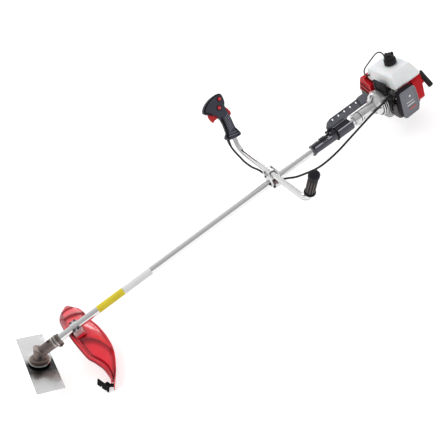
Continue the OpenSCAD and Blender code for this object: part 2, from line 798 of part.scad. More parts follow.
module throttle_case_right() {
  color([0.16, 0.16, 0.17]) arm_frame() difference() {
    handle_slice(handle_outline, -handle_half_w, 0);
    handle_cavities();
    handle_edge_bevels();
  }
}

module throttle_screws() {
  color([0.4, 0.4, 0.42]) arm_frame() {
    for (place = handle_screw_places) translate([place.x, -handle_half_w + 3, place.y])
      rotate([90, 0, 0]) socket_screw(24, 1.7, 3.2, 2.4);
    for (place = [trigger_pivot, lockout_pivot]) translate([place.x, 0, place.y])
      rod_y(-pocket_half_w - 5, pocket_half_w + 5, 2);
  }
}

trigger_outline = [
  [-41, 140], [-51, 140], [-60, 133], [-72, 127], [-75, 118], [-73, 106], [-69, 96], [-65, 90],
  [-61, 89], [-57, 94], [-50, 96], [-41, 98], [-36, 104], [-36, 116], [-40, 125]
];
lockout_outline = [
  [-9, 129], [-6, 132], [2, 133], [10, 128], [17, 118], [23, 105], [23, 97], [19, 91], [11, 91],
  [6, 96], [1, 104], [-3, 114], [-9, 122]
];

module throttle_trigger() {
  color([0.72, 0.06, 0.08]) arm_frame() difference() {
    handle_slice(trigger_outline, -pocket_half_w + 0.5, pocket_half_w - 0.5);
    translate([trigger_pivot.x, 0, trigger_pivot.y]) rod_y(-20, 20, 2 + fit_gap);
  }
}

module lockout_lever() {
  color([0.72, 0.06, 0.08]) arm_frame() difference() {
    handle_slice(lockout_outline, -pocket_half_w + 0.5, pocket_half_w - 0.5);
    translate([lockout_pivot.x, 0, lockout_pivot.y]) rod_y(-20, 20, 2 + fit_gap);
  }
}

module push_button(place) {
  color([0.72, 0.06, 0.08]) arm_frame() translate([place.x, 0, place.y]) {
    rod_y(-handle_half_w - 3, -9, button_r);
    translate([0, -handle_half_w - 3, 0]) rotate([90, 0, 0])
      cylinder(h = 1.6, r1 = button_r, r2 = button_r - 2);
  }
}

module stop_button() push_button(button_places[0]);
module cruise_button() push_button(button_places[1]);

// Route of the throttle cable in the shaft frame: handle, clamp channel, sweep to the carburettor
cable_route = [
  [1064.1, 273.4, 106.8], [1060, 265.3, 89], [1056.3, 258, 73], [1054, 243, 57], [1053, 216, 46],
  [1052, 188, 38], [1051, 160, 32],
  [1053, 110, 29], [1060, 64, 31], [1064, 36, 26.5], [1078, 0, 20], [1092, -36, 13.5],
  [1116, -48, 5], [1146, -56, -8], [1188, -64, -17], [1235, -74, -21], [1281, -81, -15],
  [1336, -84, -4], [1390, -82, 8], [1450, -76, 18], [1512, -68, 26], [1572, -62, 32],
  [1610, -58, 36], [1638, -56, 36]
];
cable_steps = 54;

module throttle_cable() {
  color([0.05, 0.05, 0.05]) shaft() cord(curve_points(cable_route, cable_steps), cable_r, 8);
}

// ---------------------------------------------------------------- hip sleeve and harness plate

module hip_frame() {
  engine() rotate([-plate_lean, 0, 0]) children();
}

sleeve_x0 = 1267;
sleeve_step_x = 1384;
sleeve_x1 = 1464;
sleeve_split = 0.3;

module sleeve_bore() {
  rod_x(sleeve_x0 - 1, sleeve_x1 + 1, tube_r + fit_gap);
}

module hip_sleeve_lower() {
  color([0.17, 0.17, 0.19]) hip_frame() difference() {
    union() {
      cone_x(sleeve_x0, sleeve_step_x, 19, 21);
      rod_x(sleeve_x0, sleeve_x0 + 9, 22);
      cone_x(sleeve_step_x, sleeve_step_x + 12, 21, 26);
      rod_x(sleeve_step_x + 12 - eps, sleeve_x1, 26);
    }
    sleeve_bore();
    box([sleeve_x0 - 1, -40, -sleeve_split], [sleeve_x1 + 1, 40, 40]);
  }
}

module hip_sleeve_upper() {
  color([0.14, 0.14, 0.16]) hip_frame() difference() {
    union() {
      rod_x(sleeve_x0 + 4, sleeve_x0 + 12, 23);
      cone_x(sleeve_x0 + 12 - eps, 1338, 19, 22);
      for (x = [1318, 1327, 1336]) rod_x(x, x + 5, 25);
      rod_x(1338 - eps, sleeve_x1 - 6, 22);
      rod_x(1362, 1384, 27);
      // Rails on both sides of the sunk panel
      for (side = [-1, 1]) box([1392, side * 13 - 3, 0], [sleeve_x1 - 8, side * 13 + 3, 25]);
      // Cheeks that hold the harness plate
      box([plate_x0 - 2, -8, 10], [1450, 8, 30]);
    }
    sleeve_bore();
    box([sleeve_x0 - 1, -40, -40], [sleeve_x1 + 1, 40, sleeve_split]);
    // Slot of the harness plate
    box([plate_x0 - 1, -plate_half_t - seat_gap / 2, plate_low - 1],
        [sleeve_x1 + 1, plate_half_t + seat_gap / 2, 60]);
    // Three small drain holes beside the cheeks
    for (k = [0 : 2]) translate([1366 + 7 * k, -16, 0]) rod_h(10, 40, 1.6);
  }
}

plate_x0 = 1366;
plate_low = 19;
plate_top = 62;
plate_half_t = 3;
hook_z = 52;
hook_x0 = 1412;

module harness_plate() {
  color([0.2, 0.2, 0.22]) hip_frame() difference() {
    union() {
      translate([0, plate_half_t, 0]) rotate([90, 0, 0]) linear_extrude(height = 2 * plate_half_t)
        polygon([[plate_x0, plate_low], [1456, plate_low], [1470, 27], [1568, 27], [1580, 36],
                 [1586, 48], [1584, 60], [1574, 66], [1552, 66], [1540, plate_top],
                 [1404, plate_top], [1386, plate_top - 6], [1372, 42]]);
      // Thick block at the engine end
      translate([0, 8, 0]) rotate([90, 0, 0]) linear_extrude(height = 20)
        polygon([[1541, 32], [1568, 30], [1578, 38], [1583, 48], [1581, 58], [1573, 64],
                 [1552, 64], [1542, 58]]);
      // Stiffening rim along the outer edge
      box([1404, -5, plate_top - 3], [1540, 5, plate_top]);
    }
    for (k = [0 : hook_holes - 1])
      translate([hook_x0 + k * hook_row / (hook_holes - 1), 0, hook_z]) rod_y(-10, 10, hook_hole_d / 2);
  }
}

// ---------------------------------------------------------------- engine

housing_x0 = 1480;
housing_cone_x = 1580;
housing_bell_x = 1594;
housing_flange_x = 1606;
housing_x1 = 1620;
tube_stop_x = 1530;

module clutch_housing() {
  color([0.82, 0.83, 0.84]) engine() difference() {
    union() {
      rod_x(housing_x0, housing_cone_x, housing_neck_d / 2);
      cone_x(housing_cone_x - eps, housing_bell_x, housing_neck_d / 2, housing_d / 2 - 6);
      cone_x(housing_bell_x - eps, housing_flange_x, housing_d / 2 - 6, housing_d / 2 - 4);
      rod_x(housing_flange_x - eps, housing_x1, housing_d / 2);
      rod_x(housing_x0, housing_x0 + 6, housing_neck_d / 2 + 1.5);
      // Lugs of the clamp slit and four gussets on the bell
      box([housing_x0 + 10, -7, -housing_neck_d / 2 - 7], [housing_x0 + 30, 7, -housing_neck_d / 2 + 6]);
      for (turn = [0 : 90 : 270]) rotate([turn, 0, 0]) translate([0, 2, 0]) rotate([90, 0, 0])
        linear_extrude(height = 4) polygon([
          [housing_cone_x - 30, 21], [housing_cone_x - 26, 24], [housing_bell_x, housing_d / 2 - 6],
          [housing_flange_x, housing_d / 2 - 6], [housing_flange_x, housing_d / 2 - 10],
          [housing_cone_x, 21]
        ]);
    }
    rod_x(housing_x0 - 1, tube_stop_x, tube_r + fit_gap);
    rod_x(tube_stop_x - eps, drum_bearing_x0, tube_bore_r);
    rod_x(drum_bearing_x0 - eps, drum_bearing_x1 + 1, drum_bearing_r + fit_gap);
    rod_x(drum_bearing_x1, housing_cone_x + eps, drum_hub_r + 5);
    cone_x(housing_cone_x, drum_disc_x - 1, drum_hub_r + 5, drum_d / 2 + 2);
    rod_x(drum_disc_x - 1 - eps, housing_x1 + 1, drum_d / 2 + 2);
    box([housing_x0 - 1, -1, -housing_neck_d / 2 - 9], [housing_x0 + 34, 1, 0]);
    translate([housing_x0 + 20, 0, -housing_neck_d / 2 - 2]) rod_y(-12, 12, 2.6);
    // Cross slot behind the clamp
    box([housing_x0 + 36, -30, -30], [housing_x0 + 39, 30, 2]);
  }
}

drum_wall = 2;
drum_x1 = 1617;
shoe_gap = 1;
shoe_x0 = 1601;
shoe_x1 = 1615;

module clutch_drum() {
  color([0.5, 0.5, 0.52]) engine() difference() {
    union() {
      rod_x(drum_bearing_x0 - 2, drum_disc_x + eps, drum_hub_r);
      rod_x(drum_disc_x, drum_x1, drum_d / 2);
    }
    rod_x(drum_disc_x + drum_wall, drum_x1 + 1, drum_d / 2 - drum_wall);
    rod_x(drum_bearing_x0 - 3, drum_disc_x - 2, shaft_r + fit_gap / 2);
  }
}

crank_r = 8;
crank_x0 = 1600;

module clutch_shoes() {
  shoe_r = drum_d / 2 - drum_wall - shoe_gap;
  color([0.35, 0.33, 0.3]) engine() difference() {
    rod_x(shoe_x0, shoe_x1, shoe_r);
    rod_x(shoe_x0 - 1, shoe_x1 + 1, crank_r + fit_gap / 2);
    // Slots that part the two shoes from the carrier
    for (side = [-1, 1])
      box([shoe_x0 - 1, -shoe_r - 1, side * 12 - 0.8], [shoe_x1 + 1, shoe_r + 1, side * 12 + 0.8]);
  }
}

crankcase_r = 44;
crankcase_x0 = 1620.3;
crankcase_x1 = 1686;
cylinder_x = 1654;
cylinder_seat_z = -44.5;
intake_z = -56;
port_r = 7;

module crankcase() {
  color([0.7, 0.71, 0.72]) engine() difference() {
    union() {
      rod_x(crankcase_x0, crankcase_x1, crankcase_r);
      rod_x(crankcase_x0, crankcase_x0 + 8, crankcase_r + 3);
      box([cylinder_x - 30, -34, cylinder_seat_z], [cylinder_x + 30, 34, -10]);
      // Feet under the tank bracket
      for (x = [1658, 1677], y = [-26, 26]) translate([x, y, 20])
        cylinder(h = tray_z0 - 20 - seat_gap, r = 6);
    }
    rod_x(crankcase_x0 - 1, crankcase_x1 + 1, crank_r + fit_gap);
    // Crank chamber, open towards the cylinder
    rod_x(crankcase_x0 + 12, crankcase_x1 - 12, 30);
    translate([cylinder_x, 0, cylinder_seat_z - 1]) cylinder(h = 30, r = 19.5);
  }
}

module crankshaft() {
  color([0.65, 0.65, 0.67]) engine() {
    rod_x(crank_x0, 1748, crank_r);
    rod_x(crankcase_x0 + 14, crankcase_x0 + 22, 24);
    rod_x(crankcase_x1 - 22, crankcase_x1 - 14, 24);
  }
}

flywheel_x0 = 1692;
flywheel_x1 = 1704;
vane_x1 = 1716;
vane_count = 12;

module flywheel() {
  r = flywheel_d / 2;
  color([0.6, 0.61, 0.62]) engine() difference() {
    union() {
      rod_x(flywheel_x0, flywheel_x1, r);
      rod_x(flywheel_x0, vane_x1, 14);
      for (k = [0 : vane_count - 1]) rotate([360 * k / vane_count, 0, 0])
        box([flywheel_x1 - eps, -1.2, 22], [vane_x1, 1.2, r]);
    }
    rod_x(flywheel_x0 - 1, vane_x1 + 1, crank_r + fit_gap / 2);
  }
}

fin_t = 2;
fin_top_z = cylinder_seat_z - 4;
cylinder_low_z = -80;
cylinder_bore_r = 19.5;

plug_base = [cylinder_x + 8, 0, -71];
plug_lean = 100;
plug_boss_len = 31;

module cylinder_block() {
  pitch = (fin_top_z - cylinder_low_z - fin_t) / (fin_count - 1);
  half = fin_w / 2;
  translate([cylinder_x, 0, 0]) {
    rod_h(cylinder_low_z + 1, cylinder_seat_z - seat_gap, 25);
    for (k = [0 : fin_count - 1]) let(z = cylinder_low_z + k * pitch) intersection() {
      box([-half, -half, z], [half, half, z + fin_t]);
      rod_h(cylinder_low_z - 1, fin_top_z + 1, fin_w * 0.6);
    }
    // Intake and exhaust port blocks
    box([-15, -half - 1, intake_z - 9], [15, 0, intake_z + 9]);
    box([-17, 0, intake_z - 9], [17, half + 2, intake_z + 9]);
  }
  // Boss of the spark plug, leaning towards the starter
  translate(plug_base) rotate([0, plug_lean, 0]) cylinder(h = plug_boss_len, r = 9);
}

module engine_cylinder() {
  color([0.72, 0.73, 0.74]) engine() difference() {
    cylinder_block();
    translate([cylinder_x, 0, cylinder_low_z + 8]) cylinder(h = 60, r = cylinder_bore_r);
    translate([cylinder_x, 0, intake_z]) rod_y(-60, 60, port_r);
    translate(plug_base) rotate([0, plug_lean, 0]) cylinder(h = 60, r = 7 + fit_gap);
  }
}

module plug_frame() {
  engine() translate(plug_base) rotate([0, plug_lean, 0]) translate([0, 0, plug_boss_len]) children();
}

module spark_plug() {
  color([0.85, 0.85, 0.82]) plug_frame() {
    translate([0, 0, -18]) cylinder(h = 18.3, r = 7);
    translate([0, 0, seat_gap - eps]) cylinder(h = 6, r = 9.5, $fn = 6);
    translate([0, 0, 6]) cylinder(h = 12, r = 4.5);
  }
}

lead_r = 3.5;
lead_route = [
  [1721, 0, -84], [1726, 12, -84], [1722, 26, -82], [1712, 38, -76], [1700, 46, -66],
  [1688, 50, -54], [1679, 50, -42], [1675, 50, -28]
];
coil_low = [1662, 44.3, -32];
coil_high = [1684, 56, 4];

// Rubber plug cap with the ignition lead up to the coil
module plug_lead() {
  color([0.05, 0.05, 0.05]) {
    plug_frame() difference() {
      union() {
        translate([0, 0, 6.6]) cylinder(h = 18, r = 8.5);
        translate([0, 0, 24.6 - eps]) cylinder(h = 4, r1 = 8.5, r2 = 6);
      }
      translate([0, 0, 6]) cylinder(h = 12.4, r = 4.5 + fit_gap);
    }
    engine() cord(curve_points(lead_route, 12), lead_r, 8);
    engine() box(coil_low, coil_high);
  }
}

// ---------------------------------------------------------------- intake side

carb_x0 = 1636;
carb_x1 = 1672;
carb_y0 = -76;
carb_y1 = -50;
carb_z0 = -76;
carb_z1 = 12;
carb_axis_y = -63;
choke_x = carb_x1 - 8;
choke_y = carb_axis_y - 7;

module carburettor() {
  color([0.25, 0.25, 0.27]) engine() difference() {
    union() {
      box([carb_x0, carb_y0, carb_z0 + 10], [carb_x1, carb_y1, carb_z1 - 14]);
      box([carb_x0 + 6, carb_y0 + 3, carb_z1 - 14 - eps], [carb_x1 - 6, carb_y1 - 3, carb_z1 - 4]);
      // Float bowl
      translate([cylinder_x, carb_axis_y, carb_z0]) cylinder(h = 11, r = 11);
      // Insulator block towards the cylinder
      box([cylinder_x - 15, carb_y1 - eps, intake_z - 9],
          [cylinder_x + 15, -fin_w / 2 - 1 - seat_gap, intake_z + 9]);
      // Cable stop
      box([1630, -63, 2], [1636, -49, 44]);
      box([1630, -61, -8], [1646, -51, 2.1]);
    }
    translate([cylinder_x, 0, intake_z]) rod_y(-90, 0, port_r);
    translate([cylinder_x, carb_axis_y, 0]) rod_h(-10, 20, 3 + fit_gap);
    translate([1628, -56, 36]) rod_x(-5, 20, cable_r + seat_gap);
    translate([choke_x, choke_y, 0]) rod_h(-16, 20, 2 + fit_gap);
  }
}

module throttle_lever() {
  color([0.6, 0.6, 0.62]) engine() translate([cylinder_x, carb_axis_y, 0]) {
    rod_h(-8, 20, 3);
    difference() {
      union() {
        rod_h(14, 20, 8);
        box([-3, 0, 15], [3, 18, 18]);
      }
      translate([0, 15, 10]) cylinder(h = 10, r = 1.5);
    }
  }
}

module choke_lever() {
  color([0.72, 0.06, 0.08]) engine() translate([choke_x, choke_y, 0]) {
    rod_h(-14, 12, 2);
    rod_h(8.5, 12, 4);
    box([0, -3, 9], [22, 3, 11.6]);
    translate([22, 0, 9]) cylinder(h = 2.6, r = 5);
  }
}

filter_back_y = -84;
filter_split_y = -101;
filter_front_y = -120;

// Outline of the filter housing in the plane along the shaft, grown by g
function filter_outline(g) = [
  [1652 - g, 54], [1664 - g, 66 + g], [1698, 68 + g], [1712 + g, 58 + g], [1720 + g, 26],
  [1720 + g, -30], [1709 + g, -53 - g], [1690, -61 - g], [1642, -60 - g], [1631 - g, -50 - g]
];

module filter_slab(y0, y1, g) {
  translate([0, y1, 0]) rotate([90, 0, 0]) linear_extrude(height = y1 - y0) polygon(filter_outline(g));
}

module filter_case() {
  color([0.08, 0.08, 0.09]) engine() difference() {
    union() {
      filter_slab(filter_split_y, filter_back_y, 0);
      // Neck against the carburettor
      box([cylinder_x - 16, filter_back_y - 1, intake_z - 10],
          [cylinder_x + 14, carb_y0 - seat_gap, intake_z + 10]);
    }
    filter_slab(filter_split_y - 1, filter_back_y - 3, -3);
    translate([cylinder_x, 0, intake_z]) rod_y(-90, 0, port_r);
  }
}

module filter_cover() {
  color([0.2, 0.2, 0.22]) engine() difference() {
    union() {
      filter_slab(filter_front_y + 5, filter_split_y - seat_gap, 1);
      filter_slab(filter_front_y, filter_front_y + 5 + eps, -4);
    }
    filter_slab(filter_front_y + 7, filter_split_y, -2);
  }
}

// ---------------------------------------------------------------- exhaust side

muffler_x0 = 1630;
muffler_x1 = 1698;
cover_low_z = -1;

module muffler() {
  color([0.3, 0.28, 0.27]) engine() difference() {
    union() {
      box([muffler_x0 + 7, 64, -38], [muffler_x1 - 7, 124, 36]);
      box([cylinder_x - 17, fin_w / 2 + 2 + seat_gap, intake_z - 9], [cylinder_x + 17, 90, intake_z + 9]);
      box([cylinder_x - 17, 66, intake_z], [cylinder_x + 17, 90, -38 + eps]);
      // Lower shell under the red cover
      translate([muffler_x0 + 2, 0, 0]) rotate([90, 0, 90]) linear_extrude(height = 64)
        polygon([[64, -44], [126, -44], [135, -35], [135, cover_low_z - 0.4], [64, cover_low_z - 0.4]]);
    }
    translate([cylinder_x, 0, intake_z]) rod_y(30, 80, port_r);
    box([muffler_x0 + 9, 66, -36], [muffler_x1 - 9, 122, 34]);
    translate([muffler_x1 - 20, 108, 16]) rod_x(0, 40, 7);
  }
}

cover_outline = [
  [60, cover_low_z], [137, cover_low_z], [138, 2], [126, 40], [113, 68], [102, 76], [86, 76],
  [86, 62], [70, 50], [60, 44]
];

module cover_prism(x0, x1, g) {
  translate([x0, 0, 0]) rotate([90, 0, 90]) linear_extrude(height = x1 - x0)
    polygon([for (p = cover_outline) [p.x + g * (p.x > 90 ? 1 : -1), p.y + g * (p.y > 0 ? 1 : -1)]]);
}

module muffler_cover() {
  color([0.75, 0.05, 0.09]) engine() difference() {
    cover_prism(muffler_x0, muffler_x1, 0);
    cover_prism(muffler_x0 + 2.5, muffler_x1 + 1, -2.5);
    // Open underside over the muffler
    box([muffler_x0 + 2.5, 62.5, -5], [muffler_x1 + 1, 134.5, 4]);
    // Long slanted cooling slots in the front
    for (z = [13, 30, 47]) translate([muffler_x0 + 1, 127 - z * 0.42, z]) rotate([20, 0, 0])
      translate([0, -23 + z * 0.12, 0]) cube([4, 50 - z * 0.3, 5], center = true);
  }
}

// ---------------------------------------------------------------- fan and starter

fan_r = fan_case_d / 2;
fan_x0 = 1688;
fan_back_x = 1744;
fan_x1 = 1790;
fan_wall = 2.5;
pulley_r = 30;
rope_y = -44;
rope_z = -8;
starter_low_z = -78;

// Starter casing seen along the shaft
starter_outline = [
  [-50, starter_low_z], [50, starter_low_z], [60, -64], [60, 22], [44, 48], [-34, 48], [-58, 24],
  [-64, -10], [-62, -62]
];

module starter_body() {
  intersection() {
    translate([fan_back_x - 4, 0, 0]) rotate([90, 0, 90])
      linear_extrude(height = fan_x1 - fan_back_x + 4) polygon(starter_outline);
    // Sloped edges all round the back
    translate([0, 100, 0]) rotate([90, 0, 0]) linear_extrude(height = 200)
      polygon([[fan_back_x - 5, -90], [fan_x1 - 6, -90], [fan_x1 + 1, -66], [fan_x1 + 1, 30],
               [fan_x1 - 18, 60], [fan_back_x - 5, 60]]);
    translate([0, 0, -100]) linear_extrude(height = 200)
      polygon([[fan_back_x - 5, -80], [fan_x1 - 16, -80], [fan_x1 + 1, -48], [fan_x1 + 1, 44],
               [fan_x1 - 16, 80], [fan_back_x - 5, 80]]);
  }
}

module starter_housing() {
  color([0.75, 0.05, 0.09]) engine() difference() {
    union() {
      rod_x(fan_x0, fan_back_x, fan_r);
      starter_body();
      translate([0, rope_y, rope_z]) rod_x(fan_back_x, fan_x1 + 8, 9);
    }
    rod_x(fan_x0 - 1, fan_back_x - fan_wall, fan_r - fan_wall);
    rod_x(fan_back_x - fan_wall - eps, fan_back_x + 16, pulley_r + 3);
    translate([0, rope_y, rope_z]) rod_x(fan_back_x + 14, fan_x1 + 10, 2.4);
    translate([0, rope_y, rope_z]) rod_x(fan_x1 + 1, fan_x1 + 10, 6);
    // Passage of the rope from the pulley to its eye
    box([fan_back_x + 4, rope_y - 2.4, rope_z - 2.4], [fan_back_x + 16, -pulley_r, rope_z + 2.4]);
    // Air slots round the back
    for (turn = [0 : 30 : 330]) rotate([turn, 0, 0]) box([fan_back_x - 4, -2, 36], [fan_x1 + 1, 2, 46]);
    rod_x(fan_back_x + 15, fan_back_x + 18, 4 + fit_gap);
  }
}

module starter_pulley() {
  color([0.1, 0.1, 0.1]) engine() {
    difference() {
      union() {
        rod_x(fan_back_x + 1, fan_back_x + 4, pulley_r);
        rod_x(fan_back_x + 4 - eps, fan_back_x + 10, pulley_r - 5);
        rod_x(fan_back_x + 10 - eps, fan_back_x + 13, pulley_r);
        rod_x(fan_back_x + 12, 1761, 4);
      }
      rod_x(fan_back_x, fan_back_x + 6, crank_r + 1.5);
    }
  }
}

pull_x = 1812;
pull_lean = -50;

// T-shaped handle with its stub of rope
module pull_handle() {
  color([0.05, 0.05, 0.05]) engine() translate([0, rope_y, rope_z]) {
    rod_x(fan_back_x + 20, pull_x, 2);
    rod_x(fan_x1 + 1.3, pull_x - 4, 5.5);
    rotate([pull_lean, 0, 0]) translate([pull_x, 0, 0]) {
      box([-6, -7.5, -pull_len / 2 + 6], [10, 7.5, pull_len / 2 - 6]);
      for (side = [-1, 1]) translate([2, 0, side * (pull_len / 2 - 6)]) pull_end();
    }
  }
}

// Rounded end of the handle's bar
module pull_end() {
  intersection() {
    rod_y(-7.5, 7.5, 8);
    cube([16, 15, 12], center = true);
  }
}

// ---------------------------------------------------------------- tank

tank_x0 = 1645;
tank_x1 = tank_x0 + fuel_tank_len;
tank_z0 = 60;
tray_z0 = 52;
tray_z1 = tank_z0 - seat_gap;
tank_top_z = 121;
cap_x = 1706;
neck_top_z = 138;
filler_r = 17;

// Solid of the tank's shape, drawn in by g on every side
module tank_solid(g) {
  near_y = -fuel_tank_w / 2 + g;
  far_y = fuel_tank_w / 2 - g;
  front_x = tank_x0 + g;
  back_x = tank_x1 - g;
  top_z = tank_top_z - g;
  low_z = tank_z0 + g;
  intersection() {
    translate([tank_x0 - 5, 0, 0]) rotate([90, 0, 90]) linear_extrude(height = fuel_tank_len + 10)
      polygon([[near_y + 3, low_z], [far_y - 6, low_z], [far_y, 72], [far_y - 2, 108],
               [far_y - 18, top_z], [near_y + 24, top_z], [near_y + 14, 109], [near_y, 68]]);
    translate([0, 100, 0]) rotate([90, 0, 0]) linear_extrude(height = 200)
      polygon([[front_x + 2, low_z], [back_x - 5, low_z], [back_x, 66], [back_x, 72],
               [back_x - 22, top_z], [front_x + 16, top_z], [front_x + 6, 110], [front_x, 72]]);
  }
}

module fuel_tank() {
  color([0.95, 0.96, 0.96]) engine() difference() {
    union() {
      tank_solid(0);
      translate([cap_x, 0, 0]) rod_h(tank_top_z - 4, neck_top_z, filler_r);
      translate([cap_x, 0, 0]) rod_h(tank_top_z - 4, tank_top_z + 3, cap_d / 2 - 1);
    }
    tank_solid(fuel_tank_wall);
    translate([cap_x, 0, 0]) rod_h(tank_top_z - 6, neck_top_z + 1, filler_r - 2.5);
  }
}

module fuel_cap() {
  color([0.13, 0.13, 0.14]) engine() translate([cap_x, 0, 0]) difference() {
    union() {
      rod_h(tank_top_z + 3.3, tank_top_z + 22, cap_d / 2);
      translate([0, 0, tank_top_z + 22 - eps]) cylinder(h = 4, r1 = cap_d / 2, r2 = cap_d / 2 - 4);
      rod_h(tank_top_z + 26 - eps, tank_top_z + 40, cap_d / 2 - 5);
      // Two finger bars on top
      for (turn = [0, 90]) rotate([0, 0, turn])
        box([-cap_d / 2 + 4, -4, tank_top_z + 30], [cap_d / 2 - 4, 4, tank_top_z + 43]);
    }
    rod_h(tank_top_z, neck_top_z + 0.5, filler_r + fit_gap);
    // Finger flutes round the rim
    for (k = [0 : 11]) rotate([0, 0, 30 * k]) translate([cap_d / 2 + 1, 0, 0])
      rod_h(tank_top_z + 6, tank_top_z + 24, 2.2);
  }
}

panel_x0 = 1622;
panel_x1 = 1630;

module tank_bracket() {
  color([0.15, 0.15, 0.16]) engine() difference() {
    union() {
      box([tank_x0 + 5, -66, tray_z0], [tank_x1 - 12, 66, tray_z1]);
      // Front panel in front of the tank
      box([panel_x0, -48, 40], [panel_x1, 20, 92]);
      box([panel_x0, -48, tray_z0], [tank_x0 + 8, 20, tray_z1]);
    }
    // Hollow underside over the fan housing and round the crankcase's front flange
    rod_x(fan_x0 - 3, tank_x1, fan_r + 1);
    rod_x(panel_x0 - 1, panel_x1 + 1, crankcase_r + 3 + seat_gap);
    box([panel_x0 - 1, -40, 56], [panel_x0 + 2, 12, 86]);
  }
}

hose_r = 2.8;
hose_route = [
  [1716, 44, tank_top_z + 1], [1716, 44, 127], [1718, 48, 137], [1719, 60, 144], [1718, 76, 143],
  [1710, 89, 136], [1697, 95, 126], [1681, 97, 117], [1662, 96, 110], [1646, 92, 104],
  [1636, 84, 97], [1634, 76, 91], [1638, 70, 87], [1645.8, 68, 85]
];

module vent_hose() {
  color([0.05, 0.05, 0.05]) engine() cord(curve_points(hose_route, 22), hose_r, 8);
}

stand_x0 = 1700;
stand_x1 = 1784;
stand_z = -104;
stand_half_w = 28;

// Foot under the starter casing on which the engine stands
module engine_stand() {
  color([0.07, 0.07, 0.08]) engine() difference() {
    box([stand_x0, -stand_half_w, stand_z], [stand_x1, stand_half_w, starter_low_z - seat_gap]);
    box([stand_x0 - 1, -stand_half_w + 4, stand_z + 5], [stand_x1 - 4, stand_half_w - 4, -70]);
    box([stand_x0 - 1, -40, -92], [fan_back_x - 5, 40, -70]);
    // Windows in both walls
    for (x = [fan_back_x, fan_back_x + 20]) box([x, -40, stand_z + 9], [x + 12, 40, -84]);
  }
}

gear_case();
head_screws();
bearings();
bevel_pinion();
bevel_gear();
spindle();
wrap_guard();
blade_holder();
cutting_blade();
clamp_washer();
blade_nut();
drive_tube();
drive_shaft();
shaft_bushes();
guard_shell();
guard_bracket();
guard_strap();
guard_bolts();
line_cutter();
bar_clamp_base();
bar_clamp_body();
bar_clamp_cap();
bar_clamp_bolts();
handlebar();
plain_grip();
throttle_case_left();
throttle_case_right();
throttle_screws();
throttle_trigger();
lockout_lever();
stop_button();
cruise_button();
throttle_cable();
hip_sleeve_upper();
hip_sleeve_lower();
harness_plate();
clutch_housing();
clutch_drum();
clutch_shoes();
crankcase();
crankshaft();
flywheel();
engine_cylinder();
spark_plug();
plug_lead();
carburettor();
throttle_lever();
choke_lever();
filter_case();
filter_cover();
muffler();
muffler_cover();
starter_housing();
starter_pulley();
pull_handle();
fuel_tank();
fuel_cap();
tank_bracket();
vent_hose();
engine_stand();
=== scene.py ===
"""Petrol brush cutter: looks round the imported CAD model, in metres and in its frame."""

import json
import math

import bmesh
import bpy
from mathutils import Matrix, Vector

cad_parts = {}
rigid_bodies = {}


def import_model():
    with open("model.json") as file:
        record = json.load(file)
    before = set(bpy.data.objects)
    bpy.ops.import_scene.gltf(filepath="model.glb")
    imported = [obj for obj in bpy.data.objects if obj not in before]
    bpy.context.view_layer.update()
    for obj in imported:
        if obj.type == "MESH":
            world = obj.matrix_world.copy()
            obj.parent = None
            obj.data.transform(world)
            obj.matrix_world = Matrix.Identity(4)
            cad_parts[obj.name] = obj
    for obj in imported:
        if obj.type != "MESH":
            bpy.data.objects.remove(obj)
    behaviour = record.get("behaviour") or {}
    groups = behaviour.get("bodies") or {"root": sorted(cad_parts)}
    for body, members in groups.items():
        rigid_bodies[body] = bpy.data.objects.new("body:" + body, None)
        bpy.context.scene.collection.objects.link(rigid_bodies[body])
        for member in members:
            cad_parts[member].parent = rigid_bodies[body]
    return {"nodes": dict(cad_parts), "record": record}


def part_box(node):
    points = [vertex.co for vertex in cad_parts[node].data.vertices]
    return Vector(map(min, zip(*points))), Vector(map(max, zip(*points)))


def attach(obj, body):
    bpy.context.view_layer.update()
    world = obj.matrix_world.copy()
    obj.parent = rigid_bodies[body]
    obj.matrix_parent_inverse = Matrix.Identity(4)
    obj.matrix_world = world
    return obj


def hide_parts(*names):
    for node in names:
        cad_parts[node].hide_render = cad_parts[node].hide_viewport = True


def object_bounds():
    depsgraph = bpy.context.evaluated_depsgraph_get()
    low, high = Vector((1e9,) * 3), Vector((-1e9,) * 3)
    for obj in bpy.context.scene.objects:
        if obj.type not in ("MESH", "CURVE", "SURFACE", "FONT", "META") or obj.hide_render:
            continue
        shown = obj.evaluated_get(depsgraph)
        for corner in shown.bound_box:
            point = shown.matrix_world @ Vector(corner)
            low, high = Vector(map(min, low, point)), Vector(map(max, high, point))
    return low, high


for leftover in list(bpy.data.objects):
    bpy.data.objects.remove(leftover)
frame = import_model()
cad_low, cad_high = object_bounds()

MM = 0.001
SPINDLE_LEAN = math.radians(34)
HEAD_RISE = 63.6
# Where the tube's axis crosses the spindle's axis, in millimetres
CROSSING = Vector((HEAD_RISE * math.sin(SPINDLE_LEAN), 0, HEAD_RISE * math.cos(SPINDLE_LEAN)))
SPINDLE_TURN = Matrix.Rotation(SPINDLE_LEAN, 3, "Y")


def at_head(point):
    """A point of the spindle's frame, in millimetres, as a point of the row frame in metres."""
    return SPINDLE_TURN @ (Vector(point) + Vector((0, 0, HEAD_RISE))) * MM


def at_shaft(point):
    """A point of the shaft's frame, in millimetres, as a point of the row frame in metres."""
    return (Vector(point) + CROSSING) * MM


def new_object(name, data):
    """An object in the scene that shows the data."""
    made = bpy.data.objects.new(name, data)
    bpy.context.scene.collection.objects.link(made)
    return made


# ---------------------------------------------------------------- camera

